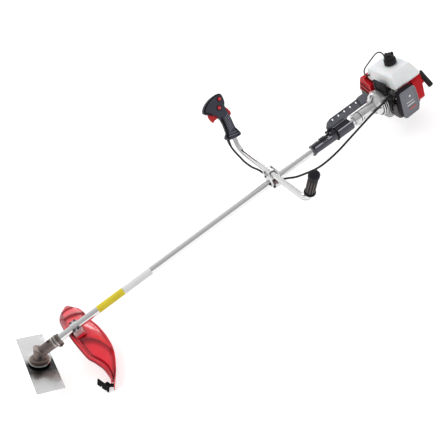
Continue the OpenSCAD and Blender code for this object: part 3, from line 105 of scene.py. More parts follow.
CAMERA_LENS = 50.28
CAMERA_PLACE = (0.5092, -1.7879, 1.5685)
camera_data = bpy.data.cameras.new("camera")
camera = new_object("camera", camera_data)
camera_data.sensor_width = 36
camera_data.lens = CAMERA_LENS
camera_right = Vector((0.79461, -0.47769, -0.3747))
camera_up = Vector((0.58938, 0.45887, 0.66488))
camera_back = camera_right.cross(camera_up)
camera.matrix_world = Matrix.Translation(CAMERA_PLACE) @ Matrix(
    (camera_right, camera_up, camera_back)
).transposed().to_4x4()
bpy.context.scene.camera = camera

# ---------------------------------------------------------------- material tools


class Nodes:
    """A node tree, with short ways to add to it."""

    def __init__(self, owner):
        owner.use_nodes = True
        self.tree = owner.node_tree

    def add(self, kind, **settings):
        node = self.tree.nodes.new(kind)
        for key, value in settings.items():
            setattr(node, key, value)
        return node

    def link(self, a, b):
        self.tree.links.new(a, b)

    def feed(self, value, socket):
        """Sets a socket to a number, or links it to another socket."""
        if isinstance(value, (int, float)):
            socket.default_value = value
        else:
            self.link(value, socket)

    def ramp(self, value, low, high, out_low=0.0, out_high=1.0, curve="LINEAR"):
        """Turns the range low to high into out_low to out_high."""
        node = self.add("ShaderNodeMapRange", interpolation_type=curve)
        node.inputs["From Min"].default_value = low
        node.inputs["From Max"].default_value = high
        node.inputs["To Min"].default_value = out_low
        node.inputs["To Max"].default_value = out_high
        self.link(value, node.inputs["Value"])
        return node.outputs["Result"]

    def maths(self, kind, a, b=0.0):
        node = self.add("ShaderNodeMath", operation=kind)
        self.feed(a, node.inputs[0])
        self.feed(b, node.inputs[1])
        return node.outputs["Value"]


class Finish(Nodes):
    """A procedural material, built up from one Principled shader."""

    def __init__(self, name, colour, roughness, metallic=0.0, **sockets):
        self.material = bpy.data.materials.new(name)
        super().__init__(self.material)
        self.shader = self.tree.nodes["Principled BSDF"]
        self.place = self.add("ShaderNodeTexCoord").outputs["Object"]
        self.normal = None
        self.base = None
        self.rough = None
        self.set("Base Color", (*colour, 1))
        self.set("Roughness", roughness)
        self.set("Metallic", metallic)
        for socket, value in sockets.items():
            self.set(socket.replace("_", " "), value)
        self.colour = colour
        self.roughness = roughness

    def edge_tint(self, grey):
        """Darkens a metal's mirror image where it is seen at a low angle."""
        self.set("Specular Tint", (grey, grey, grey, 1))

    def set(self, socket, value):
        self.shader.inputs[socket].default_value = value

    def scaled(self, stretch):
        """Object coordinates, stretched along each axis."""
        mapping = self.add("ShaderNodeMapping")
        mapping.inputs["Scale"].default_value = stretch
        self.link(self.place, mapping.inputs["Vector"])
        return mapping.outputs["Vector"]

    def noise(self, size, detail, stretch=(1, 1, 1)):
        """Noise whose lumps are about size metres across."""
        node = self.add("ShaderNodeTexNoise")
        node.inputs["Scale"].default_value = 1 / size
        node.inputs["Detail"].default_value = detail
        self.link(self.scaled(stretch), node.inputs["Vector"])
        return node.outputs["Fac"]

    def tint(self, mask, colour):
        """Mixes colour over what is there, by mask."""
        node = self.add("ShaderNodeMix", data_type="RGBA")
        if self.base is None:
            node.inputs["A"].default_value = (*self.colour, 1)
        else:
            self.link(self.base, node.inputs["A"])
        node.inputs["B"].default_value = (*colour, 1)
        self.link(mask, node.inputs["Factor"])
        self.base = node.outputs["Result"]
        self.link(self.base, self.shader.inputs["Base Color"])

    def gloss(self, mask, amount):
        """Adds amount times mask to the roughness."""
        start = self.roughness if self.rough is None else self.rough
        self.rough = self.maths("ADD", self.maths("MULTIPLY", mask, amount), start)
        self.link(self.rough, self.shader.inputs["Roughness"])

    def bump(self, height, depth, strength):
        """Height 0 to 1 stands for depth metres."""
        node = self.add("ShaderNodeBump")
        node.inputs["Strength"].default_value = strength
        node.inputs["Distance"].default_value = depth
        self.link(height, node.inputs["Height"])
        if self.normal is not None:
            self.link(self.normal, node.inputs["Normal"])
        self.normal = node.outputs["Normal"]
        self.link(self.normal, self.shader.inputs["Normal"])

    def edges(self, radius):
        """1 along a sharp edge and 0 on a flat face."""
        rounded = self.add("ShaderNodeBevel", samples=4)
        rounded.inputs["Radius"].default_value = radius
        shape = self.add("ShaderNodeNewGeometry")
        dot = self.add("ShaderNodeVectorMath", operation="DOT_PRODUCT")
        self.link(rounded.outputs["Normal"], dot.inputs[0])
        self.link(shape.outputs["Normal"], dot.inputs[1])
        return self.ramp(dot.outputs["Value"], 0.99, 0.8)

    def crevice_shade(self, reach):
        """1 deep in a groove or corner and 0 on an open face: the mask of painted shade there."""
        shade = self.add("ShaderNodeAmbientOcclusion", samples=6)
        shade.inputs["Distance"].default_value = reach
        return self.ramp(shade.outputs["AO"], 0.95, 0.45)

    def wear(self, radius, colour, amount=0.6):
        """Rubbed edges, broken up by noise."""
        patchy = self.ramp(self.noise(0.006, 4), 0.35, 0.62)
        mask = self.maths("MULTIPLY", self.edges(radius), patchy)
        self.tint(self.maths("MULTIPLY", mask, amount), colour)


def moulded(name, colour, roughness, grain=0.0006, depth=0.00004, wear=None, **sockets):
    """Moulded plastic: faint flow marks, a fine spark-eroded grain, rubbed edges and painted shade in its
    grooves and corners.
    """
    finish = Finish(name, colour, roughness, **sockets)
    # Painted shade: darker deep in grooves and corners
    finish.tint(finish.crevice_shade(0.008), tuple(c * 0.35 for c in colour))
    darker = tuple(c * 0.82 for c in colour)
    finish.tint(finish.ramp(finish.noise(0.045, 4), 0.35, 0.75, 0, 0.55), darker)
    finish.gloss(finish.noise(0.02, 5), 0.08)
    finish.bump(finish.noise(grain, 2), depth, 0.7)
    if wear:
        finish.wear(0.0009, wear)
    return finish.material


def shiny_red(name, colour, gleam, coat):
    """Glossy red cover plastic with the long soft ripple of a moulding, and painted shade in its grooves.
    """
    finish = Finish(name, colour, 0.3, Specular_IOR_Level=gleam, Coat_Weight=coat, Coat_Roughness=0.08)
    finish.tint(finish.ramp(finish.noise(0.06, 3), 0.35, 0.7, 0, 0.6), tuple(c * 0.85 for c in colour))
    finish.gloss(finish.ramp(finish.noise(0.012, 6), 0.45, 0.75), 0.12)
    finish.bump(finish.noise(0.03, 1), 0.0004, 0.3)
    finish.bump(finish.noise(0.0009, 2), 0.00002, 0.4)
    # Painted shade: much darker deep in grooves and corners
    finish.tint(finish.crevice_shade(0.014), tuple(c * 0.12 for c in colour))
    finish.wear(0.0009, (0.85, 0.32, 0.36), 0.45)
    return finish.material


def cast_metal(name, colour, roughness, grain=0.0012, depth=0.00012, dirt=(0.16, 0.14, 0.12)):
    """Sand-blasted die casting, darker in places, bright where it is rubbed, and with painted shade in its
    grooves.
    """
    finish = Finish(name, colour, roughness, 0.9)
    finish.tint(finish.ramp(finish.noise(0.02, 5), 0.45, 0.8, 0, 0.5), dirt)
    finish.gloss(finish.noise(0.008, 4), 0.14)
    # Painted shade in a darker dirt colour, deep in grooves and corners
    finish.tint(finish.crevice_shade(0.009), tuple(c * 0.4 for c in dirt))
    finish.bump(finish.noise(grain, 3), depth, 0.8)
    finish.wear(0.0008, tuple(min(1, c * 1.6 + 0.12) for c in colour), 0.7)
    return finish.material


def turned_metal(name, colour, roughness, stretch=(1, 1, 1), lines=0.0004):
    """Drawn, turned or ground metal, with fine lines along the stretched axis."""
    finish = Finish(name, colour, roughness, 1.0)
    finish.edge_tint(0.35)
    grain = finish.noise(lines, 3, stretch)
    finish.gloss(finish.ramp(grain, 0.3, 0.7), 0.1)
    streaks = finish.ramp(finish.noise(0.03, 4, stretch), 0.4, 0.8, 0, 0.25)
    finish.tint(streaks, tuple(c * 0.7 for c in colour))
    finish.bump(grain, 0.00001, 0.5)
    return finish.material


def blade_steel():
    """Ground spring steel, with a painted reflection of the dark gear head on one side of the hub."""
    finish = Finish("blade_steel", (1, 1, 1), 0.15, 1.0)
    finish.edge_tint(0.4)
    grain = finish.noise(0.0006, 3, (1, 0.03, 1))
    finish.gloss(finish.ramp(grain, 0.3, 0.7), 0.06)
    finish.gloss(finish.ramp(finish.noise(0.04, 4), 0.45, 0.7), 0.05)
    finish.bump(grain, 0.000004, 0.4)
    # Painted reflection of the dark gear head: the steel darkened on one side of the hub
    split = finish.add("ShaderNodeSeparateXYZ")
    finish.link(finish.place, split.inputs["Vector"])
    along = split.outputs["Y"]
    painted_reflection = finish.maths(
        "MULTIPLY", finish.ramp(along, -0.09, -0.05, 0, 0.94), finish.ramp(along, 0.03, 0.0)
    )
    patchy = finish.ramp(finish.noise(0.05, 2), 0.2, 0.5, 0.8, 1)
    finish.tint(finish.maths("MULTIPLY", painted_reflection, patchy), (0.015, 0.015, 0.018))
    # Painted shade: a dark line along the blade's edges
    finish.tint(finish.edges(0.0016), (0.07, 0.07, 0.075))
    return finish.material


MATERIALS = {}
MOULDED = {
    "control_red": dict(colour=(0.62, 0.015, 0.02), roughness=0.3, wear=(0.8, 0.3, 0.3)),
    "handle_black": dict(
        colour=(0.06, 0.061, 0.082), roughness=0.5, wear=(0.008, 0.008, 0.012), Specular_IOR_Level=0.1,
    ),
    "hip_grey": dict(colour=(0.03, 0.031, 0.042), roughness=0.34, wear=(0.2, 0.2, 0.22)),
    "filter_grey": dict(colour=(0.032, 0.034, 0.042), roughness=0.36, wear=(0.22, 0.22, 0.24)),
    "engine_black": dict(
        colour=(0.012, 0.011, 0.013), roughness=0.42, wear=(0.1, 0.1, 0.1), Specular_IOR_Level=0.18,
    ),
    "black_rubber": dict(colour=(0.007, 0.007, 0.007), roughness=0.42, grain=0.0009, depth=0.00006),
    "grip_rubber": dict(
        colour=(0.016, 0.016, 0.021), roughness=0.55, grain=0.0008, depth=0.00008,
        Specular_IOR_Level=0.15,
    ),
    "shoe_lining": dict(colour=(0.09, 0.07, 0.05), roughness=0.8, grain=0.0012, depth=0.0003),
    "reel_plastic": dict(colour=(0.02, 0.02, 0.02), roughness=0.45),
    "plug_ceramic": dict(colour=(0.8, 0.8, 0.76), roughness=0.15, grain=0.004, depth=0.00002),
    "tank_white": dict(
        colour=(0.95, 0.95, 0.96), roughness=0.3, grain=0.0014, depth=0.00004,
        Subsurface_Weight=0.25, Subsurface_Scale=0.004,
    ),
    "cover_grey": dict(colour=(0.18, 0.184, 0.21), roughness=0.3, wear=(0.4, 0.4, 0.44)),
    "band_yellow": dict(colour=(0.76, 0.62, 0.02), roughness=0.35, grain=0.002, depth=0.00002),
    "sleeve_dark": dict(colour=(0.011, 0.01, 0.017), roughness=0.26, wear=(0.2, 0.2, 0.24)),
    "sleeve_grey": dict(colour=(0.08, 0.08, 0.1), roughness=0.32, wear=(0.3, 0.3, 0.33)),
    "plate_grey": dict(colour=(0.135, 0.137, 0.16), roughness=0.34, wear=(0.4, 0.4, 0.42)),
    "rail_grey": dict(colour=(0.46, 0.46, 0.52), roughness=0.3),
    "filter_black": dict(
        colour=(0.014, 0.011, 0.014), roughness=0.5, wear=(0.09, 0.08, 0.09), Specular_IOR_Level=0.08,
    ),
    "rib_grey": dict(colour=(0.25, 0.25, 0.3), roughness=0.45, Specular_IOR_Level=0.2),
    "rib_brown": dict(colour=(0.14, 0.115, 0.105), roughness=0.5, Specular_IOR_Level=0.2),
    "knob_brown": dict(colour=(0.16, 0.105, 0.11), roughness=0.35, wear=(0.4, 0.3, 0.3)),
    "slot_red": dict(colour=(0.05, 0.002, 0.003), roughness=0.5, Specular_IOR_Level=0.1),
    "gap_black": dict(colour=(0.006, 0.006, 0.007), roughness=0.6, Specular_IOR_Level=0.08),
    "bar_red": dict(colour=(0.42, 0.12, 0.13), roughness=0.35, grain=0.002, depth=0.00002),
    "band_pale": dict(colour=(0.78, 0.78, 0.79), roughness=0.3, grain=0.002, depth=0.00002),
}
SHINY_RED = {
    "guard_red": dict(colour=(0.74, 0.008, 0.026), gleam=0.35, coat=0.7),
    "cover_red": dict(colour=(0.6, 0.006, 0.014), gleam=0.1, coat=0.12),
    "button_red": dict(colour=(0.62, 0.015, 0.025), gleam=0.5, coat=1.0),
    # The guard's own moulding, which gets painted shade further on
    "guard_moulding": dict(colour=(0.87, 0.011, 0.032), gleam=0.4, coat=0.8),
}
CAST = {
    "cast_silver": dict(colour=(0.84, 0.84, 0.85), roughness=0.24, dirt=(0.5, 0.48, 0.47)),
    "cast_brown": dict(colour=(0.24, 0.19, 0.175), roughness=0.34),
    "muffler_steel": dict(
        colour=(0.1, 0.1, 0.095), roughness=0.4, grain=0.002, depth=0.00008, dirt=(0.06, 0.04, 0.03),
    ),
    "carb_metal": dict(colour=(0.09, 0.08, 0.085), roughness=0.32),
    "neck_grey": dict(colour=(0.72, 0.69, 0.67), roughness=0.28, dirt=(0.2, 0.16, 0.15)),
}
TURNED = {
    "tube_aluminium": dict(colour=(0.92, 0.92, 0.93), roughness=0.14, stretch=(0.02, 1, 1)),
    "bar_chrome": dict(colour=(0.93, 0.93, 0.93), roughness=0.05, stretch=(1, 0.05, 1), lines=0.0015),
    "bright_steel": dict(colour=(0.62, 0.62, 0.63), roughness=0.2, stretch=(1, 1, 0.1)),
    "dark_steel": dict(colour=(0.12, 0.12, 0.13), roughness=0.32),
    "black_steel": dict(colour=(0.03, 0.03, 0.032), roughness=0.3),
    "ring_brown": dict(colour=(0.4, 0.33, 0.3), roughness=0.22),
    "rim_silver": dict(colour=(0.9, 0.9, 0.91), roughness=0.16),
}
MAKERS = ((moulded, MOULDED), (shiny_red, SHINY_RED), (cast_metal, CAST), (turned_metal, TURNED))
for maker, recipes in MAKERS:
    for name, values in recipes.items():
        MATERIALS[name] = maker(name, **values)
MATERIALS["blade_steel"] = blade_steel()
slot_of = {row["node"]: row["material_slot"] for row in frame["record"]["subparts"]}

# ---------------------------------------------------------------- CAD nodes: seams, rounding, finish


def seam_tool():
    """Geometry nodes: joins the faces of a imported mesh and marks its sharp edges."""
    group = bpy.data.node_groups.new("join_faces", "GeometryNodeTree")
    for way in ("INPUT", "OUTPUT"):
        group.interface.new_socket("Geometry", in_out=way, socket_type="NodeSocketGeometry")
    start = group.nodes.new("NodeGroupInput")
    end = group.nodes.new("NodeGroupOutput")
    merge = group.nodes.new("GeometryNodeMergeByDistance")
    merge.inputs["Distance"].default_value = 0.02 * MM
    angle = group.nodes.new("GeometryNodeInputMeshEdgeAngle")
    sharp = group.nodes.new("FunctionNodeCompare")
    sharp.operation = "GREATER_THAN"
    sharp.inputs["B"].default_value = math.radians(28)
    normals = group.nodes.new("GeometryNodeSetMeshNormal")
    normals.inputs["Remove Custom"].default_value = True
    group.links.new(start.outputs[0], merge.inputs["Geometry"])
    group.links.new(angle.outputs["Unsigned Angle"], sharp.inputs["A"])
    group.links.new(sharp.outputs["Result"], normals.inputs["Edge Sharpness"])
    group.links.new(merge.outputs["Geometry"], normals.inputs["Mesh"])
    group.links.new(normals.outputs["Mesh"], end.inputs[0])
    return group


join_faces = seam_tool()


def round_edges(piece, width):
    """Rounds the sharp edges of a piece by a bevel of width millimetres."""
    bevel = piece.modifiers.new("rounding", "BEVEL")
    bevel.width = width * MM
    bevel.segments = 2
    bevel.limit_method = "ANGLE"
    bevel.angle_limit = math.radians(32)
    bevel.use_clamp_overlap = True
    bevel.harden_normals = True


ROUNDING = {
    "gear_case": 1.0, "guard_bracket": 1.2, "guard_strap": 1.2, "bar_clamp_base": 1.0,
    "bar_clamp_body": 1.0, "bar_clamp_cap": 1.0, "throttle_case_left": 1.2,
    "throttle_case_right": 1.2, "throttle_trigger": 1.2, "lockout_lever": 1.2,
    "hip_sleeve_upper": 0.8, "hip_sleeve_lower": 0.8, "harness_plate": 1.2,
    "clutch_housing": 0.8, "crankcase": 0.8, "engine_cylinder": 0.4, "carburettor": 0.6,
    "muffler": 1.2, "muffler_cover": 2.0, "starter_housing": 2.0, "pull_handle": 2.0,
    "fuel_tank": 5.0, "fuel_cap": 0.8, "tank_bracket": 1.2, "engine_stand": 1.5,
    "line_cutter": 0.6, "plain_grip": 0.6,
}
for name, node in frame["nodes"].items():
    finish = MATERIALS[slot_of[name]]
    for slot in node.material_slots:
        slot.material = finish
    joined = node.modifiers.new("join_faces", "NODES")
    joined.node_group = join_faces
    if name in ROUNDING:
        round_edges(node, ROUNDING[name])
OWN_FINISH = {
    # Painted shade: the blade holder is black, for the shade under the gear head
    "cutting_blade": "blade_steel", "blade_holder": "black_steel",
    "wrap_guard": "ring_brown", "hip_sleeve_upper": "sleeve_dark",
    "hip_sleeve_lower": "sleeve_grey", "harness_plate": "plate_grey",
    "line_cutter": "gap_black", "bar_clamp_bolts": "rim_silver",
}
for name, finish in OWN_FINISH.items():
    frame["nodes"][name].material_slots[0].material = MATERIALS[finish]

# ---------------------------------------------------------------- cords


def curve_point(route, s):
    """Catmull-Rom position at s, in whole segments of the route."""
    i = min(int(s), len(route) - 2)
    f = s - i
    a, b, c, d = (Vector(route[min(max(k, 0), len(route) - 1)]) for k in range(i - 1, i + 3))
    return 0.5 * (2 * b + (c - a) * f + (2 * a - 5 * b + 4 * c - d) * f * f
                  + (3 * b - a - 3 * c + d) * f ** 3)


def cord_piece(name, node, route, steps, radius):
    """A round cord along the route, which is in the shaft's frame in millimetres."""
    points = [
        at_shaft(curve_point(route, k * (len(route) - 1) / steps)) for k in range(steps + 1)
    ]
    data = bpy.data.curves.new(name, "CURVE")
    data.dimensions = "3D"
    data.bevel_depth = radius * MM
    data.bevel_resolution = 5
    data.use_fill_caps = True
    spline = data.splines.new("POLY")
    spline.points.add(len(points) - 1)
    for target, point in zip(spline.points, points):
        target.co = (*point, 1)
    spline.use_smooth = True
    piece = new_object(name, data)
    data.materials.append(MATERIALS["black_rubber"])
    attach(piece, "machine")
    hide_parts(node)
    length = sum((b - a).length for a, b in zip(points, points[1:]))
    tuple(points[0])


CABLE_ROUTE = [
    (1064.1, 273.4, 106.8), (1060, 265.3, 89), (1056.3, 258, 73), (1054, 243, 57),
    (1053, 216, 46), (1052, 188, 38), (1051, 160, 32), (1053, 110, 29), (1060, 64, 31),
    (1064, 36, 26.5), (1078, 0, 20), (1092, -36, 13.5), (1116, -48, 5), (1146, -56, -8),
    (1188, -64, -17), (1235, -74, -21), (1281, -81, -15), (1336, -84, -4), (1390, -82, 8),
    (1450, -76, 18), (1512, -68, 26), (1572, -62, 32), (1610, -58, 36), (1638, -56, 36),
]
HOSE_ROUTE = [
    (1716, 44, 122), (1716, 44, 127), (1718, 48, 137), (1719, 60, 144), (1718, 76, 143),
    (1710, 89, 136), (1697, 95, 126), (1681, 97, 117), (1662, 96, 110), (1646, 92, 104),
    (1636, 84, 97), (1634, 76, 91), (1638, 70, 87), (1645.8, 68, 85),
]
LEAD_ROUTE = [
    (1721, 0, -84), (1726, 12, -84), (1722, 26, -82), (1712, 38, -76), (1700, 46, -66),
    (1688, 50, -54), (1679, 50, -42), (1675, 50, -28),
]
cord_piece("throttle_cable_outer", "throttle_cable", CABLE_ROUTE, 138, 4.2)
cord_piece("tank_vent_hose", "vent_hose", HOSE_ROUTE, 60, 2.8)
cord_piece("ignition_lead", "plug_lead", LEAD_ROUTE, 48, 3.5)

# ---------------------------------------------------------------- tools for new pieces


def smooth(x):
    """0 below 0, 1 above 1 and a soft rise between."""
    x = min(max(x, 0), 1)
    return x * x * (3 - 2 * x)


def through(marks, x):
    """Value at x on the soft line through the marks, which are (x, value) pairs."""
    if x <= marks[0][0]:
        return marks[0][1]
    for (x0, y0), (x1, y1) in zip(marks, marks[1:]):
        if x <= x1:
            return y0 + (y1 - y0) * (x - x0) / (x1 - x0)
    return marks[-1][1]


def new_piece(name, mesh, finish, body="machine", replaced=()):
    """Puts a mesh in the scene as a piece that rides on a body."""
    piece = new_object(name, mesh)
    mesh.materials.append(MATERIALS[finish])
    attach(piece, body)
    if replaced:
        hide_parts(*replaced)
    return piece


def mesh_of(name, shape):
    """Mesh data from a bmesh, which is freed."""
    mesh = bpy.data.meshes.new(name)
    shape.to_mesh(mesh)
    shape.free()
    return mesh


def solid_mesh(name, rows, ring=False):
    """Closed mesh from loops of equal length: joined in order and capped, or joined in a ring."""
    shape = bmesh.new()
    grid = [[shape.verts.new(point) for point in row] for row in rows]
    count = len(grid[0])
    for row, after in zip(grid, grid[1:] + grid[:1] if ring else grid[1:]):
        for k in range(count):
            n = (k + 1) % count
            shape.faces.new((row[k], row[n], after[n], after[k]))
    if not ring:
        shape.faces.new(list(reversed(grid[0])))
        shape.faces.new(grid[-1])
    bmesh.ops.recalc_face_normals(shape, faces=shape.faces)
    return mesh_of(name, shape)


def box_mesh(name, low, high, bevel=0.0):
    """Box between two corners in metres, its edges rounded by bevel millimetres."""
    shape = bmesh.new()
    bmesh.ops.create_cube(shape, size=1)
    middle = (Vector(low) + Vector(high)) / 2
    size = Vector(high) - Vector(low)
    for corner in shape.verts:
        corner.co = middle + Vector(c * s for c, s in zip(corner.co, size))
    if bevel:
        bmesh.ops.bevel(
            shape, geom=list(shape.edges), offset=bevel * MM, segments=3, profile=0.5, affect="EDGES"
        )
    return mesh_of(name, shape)


def cut(piece, steps):
    """Carves or joins helper meshes into a piece: steps are (operation, mesh) pairs."""
    helpers = []
    for operation, mesh in steps:
        helper = new_object("helper", mesh)
        change = piece.modifiers.new("cut", "BOOLEAN")
        change.operation = operation
        change.solver = "EXACT"
        change.object = helper
        helpers.append(helper)
    bpy.context.view_layer.update()
    result = bpy.data.meshes.new_from_object(
        piece.evaluated_get(bpy.context.evaluated_depsgraph_get())
    )
    piece.modifiers.clear()
    piece.data = result
    for helper in helpers:
        bpy.data.objects.remove(helper)


def shade_smooth(piece, angle=35):
    """Smooth shading with sharp edges where faces meet at more than the angle."""
    piece.data.shade_smooth()
    piece.data.set_sharp_from_angle(angle=math.radians(angle))


# ---------------------------------------------------------------- blade guard

GUARD_FRONT = [
    (196, -212, -4), (192, -200, 8), (178, -172, 20), (158, -142, 28), (138, -112, 33),
    (117, -40, 46), (107, 0, 54), (101, 46, 48), (104, 110, 36), (113, 146, 30), (126, 168, 26),
]
GUARD_OUTER = [
    (204, -216, 0), (215, -196, 16), (226, -158, 38), (233, -120, 48), (233, -90, 56),
    (227, -40, 64), (217, 12, 66), (205, 56, 64), (198, 110, 58), (190, 158, 47), (176, 186, 34),
]
GUARD_WALL = 2.6
# The skin's points: along the guard, down the front lip, across the arch and down the skirt
LENGTH_STEPS = 220
LIP_DROPS = [(8, 0.5), (5, 1.2), (2, 1)]
ARCH_STEPS = 46
SKIRT_STEPS = 7
LIP_SHADE = 0.9
# Two steps in the shell: how far along it each one runs, from the front edge to the outer edge
UPPER_STEP = [(0.0, 0.525), (0.25, 0.51), (0.5, 0.48), (0.69, 0.45), (0.85, 0.39), (1.0, 0.29)]
LOWER_STEP = [(0.1, 0.46), (0.2, 0.42), (0.32, 0.36), (0.39, 0.28), (0.54, 0.14), (0.8, 0.0), (1.0, -0.1)]
FAR_STEP = 0.785
FAR_WALL = 0.92
# How deep each step is and how high each rise is, in millimetres
UPPER_DEPTH = 11
LOWER_DEPTH = 7
SEAT_DEPTH = 8
WALL_RISE = 5
CORNER_RISE = 4
FRONT_BEAD = 3.2
OUTER_BEAD = 1.6
BEAD_WIDTH = 2.4


def arch_place(k):
    """Share of the way across the guard of the k-th point, closer together near both rims."""
    return smooth(k / ARCH_STEPS) * 0.35 + k / ARCH_STEPS * 0.65


def guard_relief(t, v, width):
    """Rise of the outside skin over the plain shell, in millimetres."""
    front_bead = FRONT_BEAD * math.exp(-((v * width - 3.5) / BEAD_WIDTH) ** 2)
    outer_bead = OUTER_BEAD * math.exp(-(((1 - v) * width - 4) / BEAD_WIDTH) ** 2)
    upper = UPPER_DEPTH * smooth((through(UPPER_STEP, v) - t) / 0.026)
    lower = LOWER_DEPTH * smooth((through(LOWER_STEP, v) - t) / 0.022)
    near_seat = SEAT_DEPTH * (1 - smooth((t - FAR_STEP) / 0.02))
    wall = WALL_RISE * smooth((t - FAR_WALL) / 0.018) * (1 - smooth((v - 0.8) / 0.06))
    corner = CORNER_RISE * smooth((t - FAR_STEP) / 0.03) * (1 - smooth((v - 0.12) / 0.05))
    inset = smooth((v - 0.13) / 0.05) * (1 - 0.75 * smooth((v - 0.9) / 0.1))
    return front_bead + outer_bead + max(wall, corner) - (near_seat + upper + lower) * inset


def step_shade(marks_at, t, width):
    """1 on the foot of a step in the shell and 0 away from it."""
    return math.exp(-((marks_at - 0.2 * width - t) / width) ** 2)


def guard_shade(t, v):
    """How deep in a step's foot a place on the guard lies, 0 to 1."""
    inside = smooth((v - 0.1) / 0.06)
    upper = step_shade(through(UPPER_STEP, v), t, 0.022 - 0.012 * v)
    lower = 1.1 * step_shade(through(LOWER_STEP, v), t, 0.012 - 0.005 * v) * smooth((0.96 - v) / 0.05)
    far = 0.9 * step_shade(FAR_STEP + 0.02, t, 0.024)
    wall = 0.8 * step_shade(FAR_WALL + 0.02, t, 0.022) * (1 - smooth((v - 0.75) / 0.1))
    lip = 0.9 * math.exp(-((v - 0.085) / 0.022) ** 2) + 0.8 * (1 - smooth(v / 0.02))
    rim = 0.55 * math.exp(-((v - 0.955) / 0.014) ** 2)
    border = 0.7 * smooth((t - 0.7) / 0.06) * (1 - smooth((v - 0.15) / 0.06))
    end = 0.7 * smooth((t - 0.965) / 0.02)
    return min(1, inside * max(upper, lower, far, wall) + lip + rim + end + border)


def guard_skin_row(t):
    """Points of the outside skin across the guard, from the front lip's foot to the skirt's foot."""
    front = curve_point(GUARD_FRONT, t * (len(GUARD_FRONT) - 1))
    outer = curve_point(GUARD_OUTER, t * (len(GUARD_OUTER) - 1))
    span = Vector((outer.x - front.x, outer.y - front.y, 0)).normalized()
    width = (outer - front).length
    bulge = 7 + 11 * math.exp(-((t - 0.62) / 0.2) ** 2)
    skirt = 30 + 14 * math.exp(-(t / 0.12) ** 2) + 12 * math.exp(-(t / 0.05) ** 2) - 4 * t
    row = [front + Vector((0, 0, -drop)) - span * out for drop, out in LIP_DROPS]
    for k in range(ARCH_STEPS + 1):
        v = arch_place(k)
        arch = math.sin(math.pi * v)
        rise = bulge * arch + guard_relief(t, v, width)
        row.append(front + (outer - front) * v + Vector((0, 14 * arch * t ** 14, rise)))
    for k in range(1, SKIRT_STEPS + 1):
        part = k / SKIRT_STEPS
        row.append(outer + span * (1.5 + 2.5 * part) - Vector((0, 0, skirt * part)))
    return row


def guard_mesh():
    """Closed shell: the outside skin and the same skin moved inwards by the wall."""
    outside = [guard_skin_row(k / LENGTH_STEPS) for k in range(LENGTH_STEPS + 1)]
    last = len(outside[0]) - 1
    rows = []
    for i, row in enumerate(outside):
        before = outside[max(0, i - 1)]
        after = outside[min(LENGTH_STEPS, i + 1)]
        inside = []
        for j, point in enumerate(row):
            along = after[j] - before[j]
            across = row[min(last, j + 1)] - row[max(0, j - 1)]
            inside.append(point - GUARD_WALL * across.cross(along).normalized())
        loop = row + list(reversed(inside))
        rows.append([at_head(point) for point in loop])
    mesh = solid_mesh("guard_skin", rows)
    shade = mesh.attributes.new("shade", "FLOAT", "POINT")
    span = len(rows[0])
    for i in range(LENGTH_STEPS + 1):
        arch_start = i * span + len(LIP_DROPS)
        for k in range(i * span, arch_start):
            shade.data[k].value = LIP_SHADE
        for k in range(ARCH_STEPS + 1):
            shade.data[arch_start + k].value = guard_shade(i / LENGTH_STEPS, arch_place(k))
    return mesh


def shade_guard(material):
    """Darkens the red where a step or lip keeps the light out."""
    nodes = Nodes(material)
    shade = nodes.add("ShaderNodeAttribute", attribute_name="shade")
    darken = nodes.add("ShaderNodeMix", data_type="RGBA")
    colour_in = nodes.tree.nodes["Principled BSDF"].inputs["Base Color"]
    nodes.link(colour_in.links[0].from_socket, darken.inputs["A"])
    darken.inputs["B"].default_value = (0.24, 0.002, 0.01, 1)
    nodes.link(shade.outputs["Fac"], darken.inputs["Factor"])
    nodes.link(darken.outputs["Result"], colour_in)


shade_guard(MATERIALS["guard_moulding"])
guard = new_piece("guard_shell_moulding", guard_mesh(), "guard_moulding", replaced=["guard_shell"])
# The guard's seat lies just under the bracket and reaches a little past it, and the shell is
# cleared away round the bracket
bracket_low, bracket_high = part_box("guard_bracket")
SEAT_REACH = 2
SEAT_THICK = 12
SEAT_GAP = 0.3
SEAT_BEVEL = 1.5
CLEAR_REACH = 1
CLEAR_DEPTH = 4
CLEAR_ABOVE = 12
seat_low = bracket_low - Vector((SEAT_REACH, SEAT_REACH, SEAT_THICK + SEAT_GAP)) * MM
seat_high = bracket_high + Vector((SEAT_REACH, SEAT_REACH, 0)) * MM
seat_high.z = bracket_low.z - SEAT_GAP * MM
clear_low = bracket_low - Vector((CLEAR_REACH, CLEAR_REACH, 0)) * MM
clear_low.z = seat_high.z - CLEAR_DEPTH * MM
clear_high = bracket_high + Vector((CLEAR_REACH, CLEAR_REACH, CLEAR_ABOVE)) * MM
cut(guard, [
    ("DIFFERENCE", box_mesh("clear", clear_low, clear_high)),
    ("UNION", box_mesh("seat", seat_low, seat_high, SEAT_BEVEL)),
])
shade_smooth(guard, 40)

# ---------------------------------------------------------------- bands on the tube


def turned_mesh(name, profile, place, steps=96):
    """Closed ring: a closed profile of (along, radius) points turned round the axis of place."""
    rows = [
        [place(along, radius, 2 * math.pi * k / steps) for along, radius in profile]
        for k in range(steps)
    ]
    return solid_mesh(name, rows, ring=True)


def turned_piece(name, finish, profile, place, steps=96, body="machine", angle=35):
    """A turned ring as a piece of its own, smooth where its faces meet at less than the angle."""
    shade_smooth(new_piece(name, turned_mesh(name, profile, place, steps), finish, body), angle)


def round_shaft(along, radius, turn):
    """Point on a circle round the shaft's axis."""
    return at_shaft((along, radius * math.cos(turn), radius * math.sin(turn)))


TUBE_R = 14
BANDS = {"band_yellow": (256, 370), "band_pale": (372, 494)}
for finish, (start, end) in BANDS.items():
    profile = [
        (start, TUBE_R + 0.02), (start, TUBE_R + 0.12), (start + 0.4, TUBE_R + 0.2),
        (end - 0.4, TUBE_R + 0.2), (end, TUBE_R + 0.12), (end, TUBE_R + 0.02),
    ]
    turned_piece("tube_" + finish, finish, profile, round_shaft)

# ---------------------------------------------------------------- throttle handle


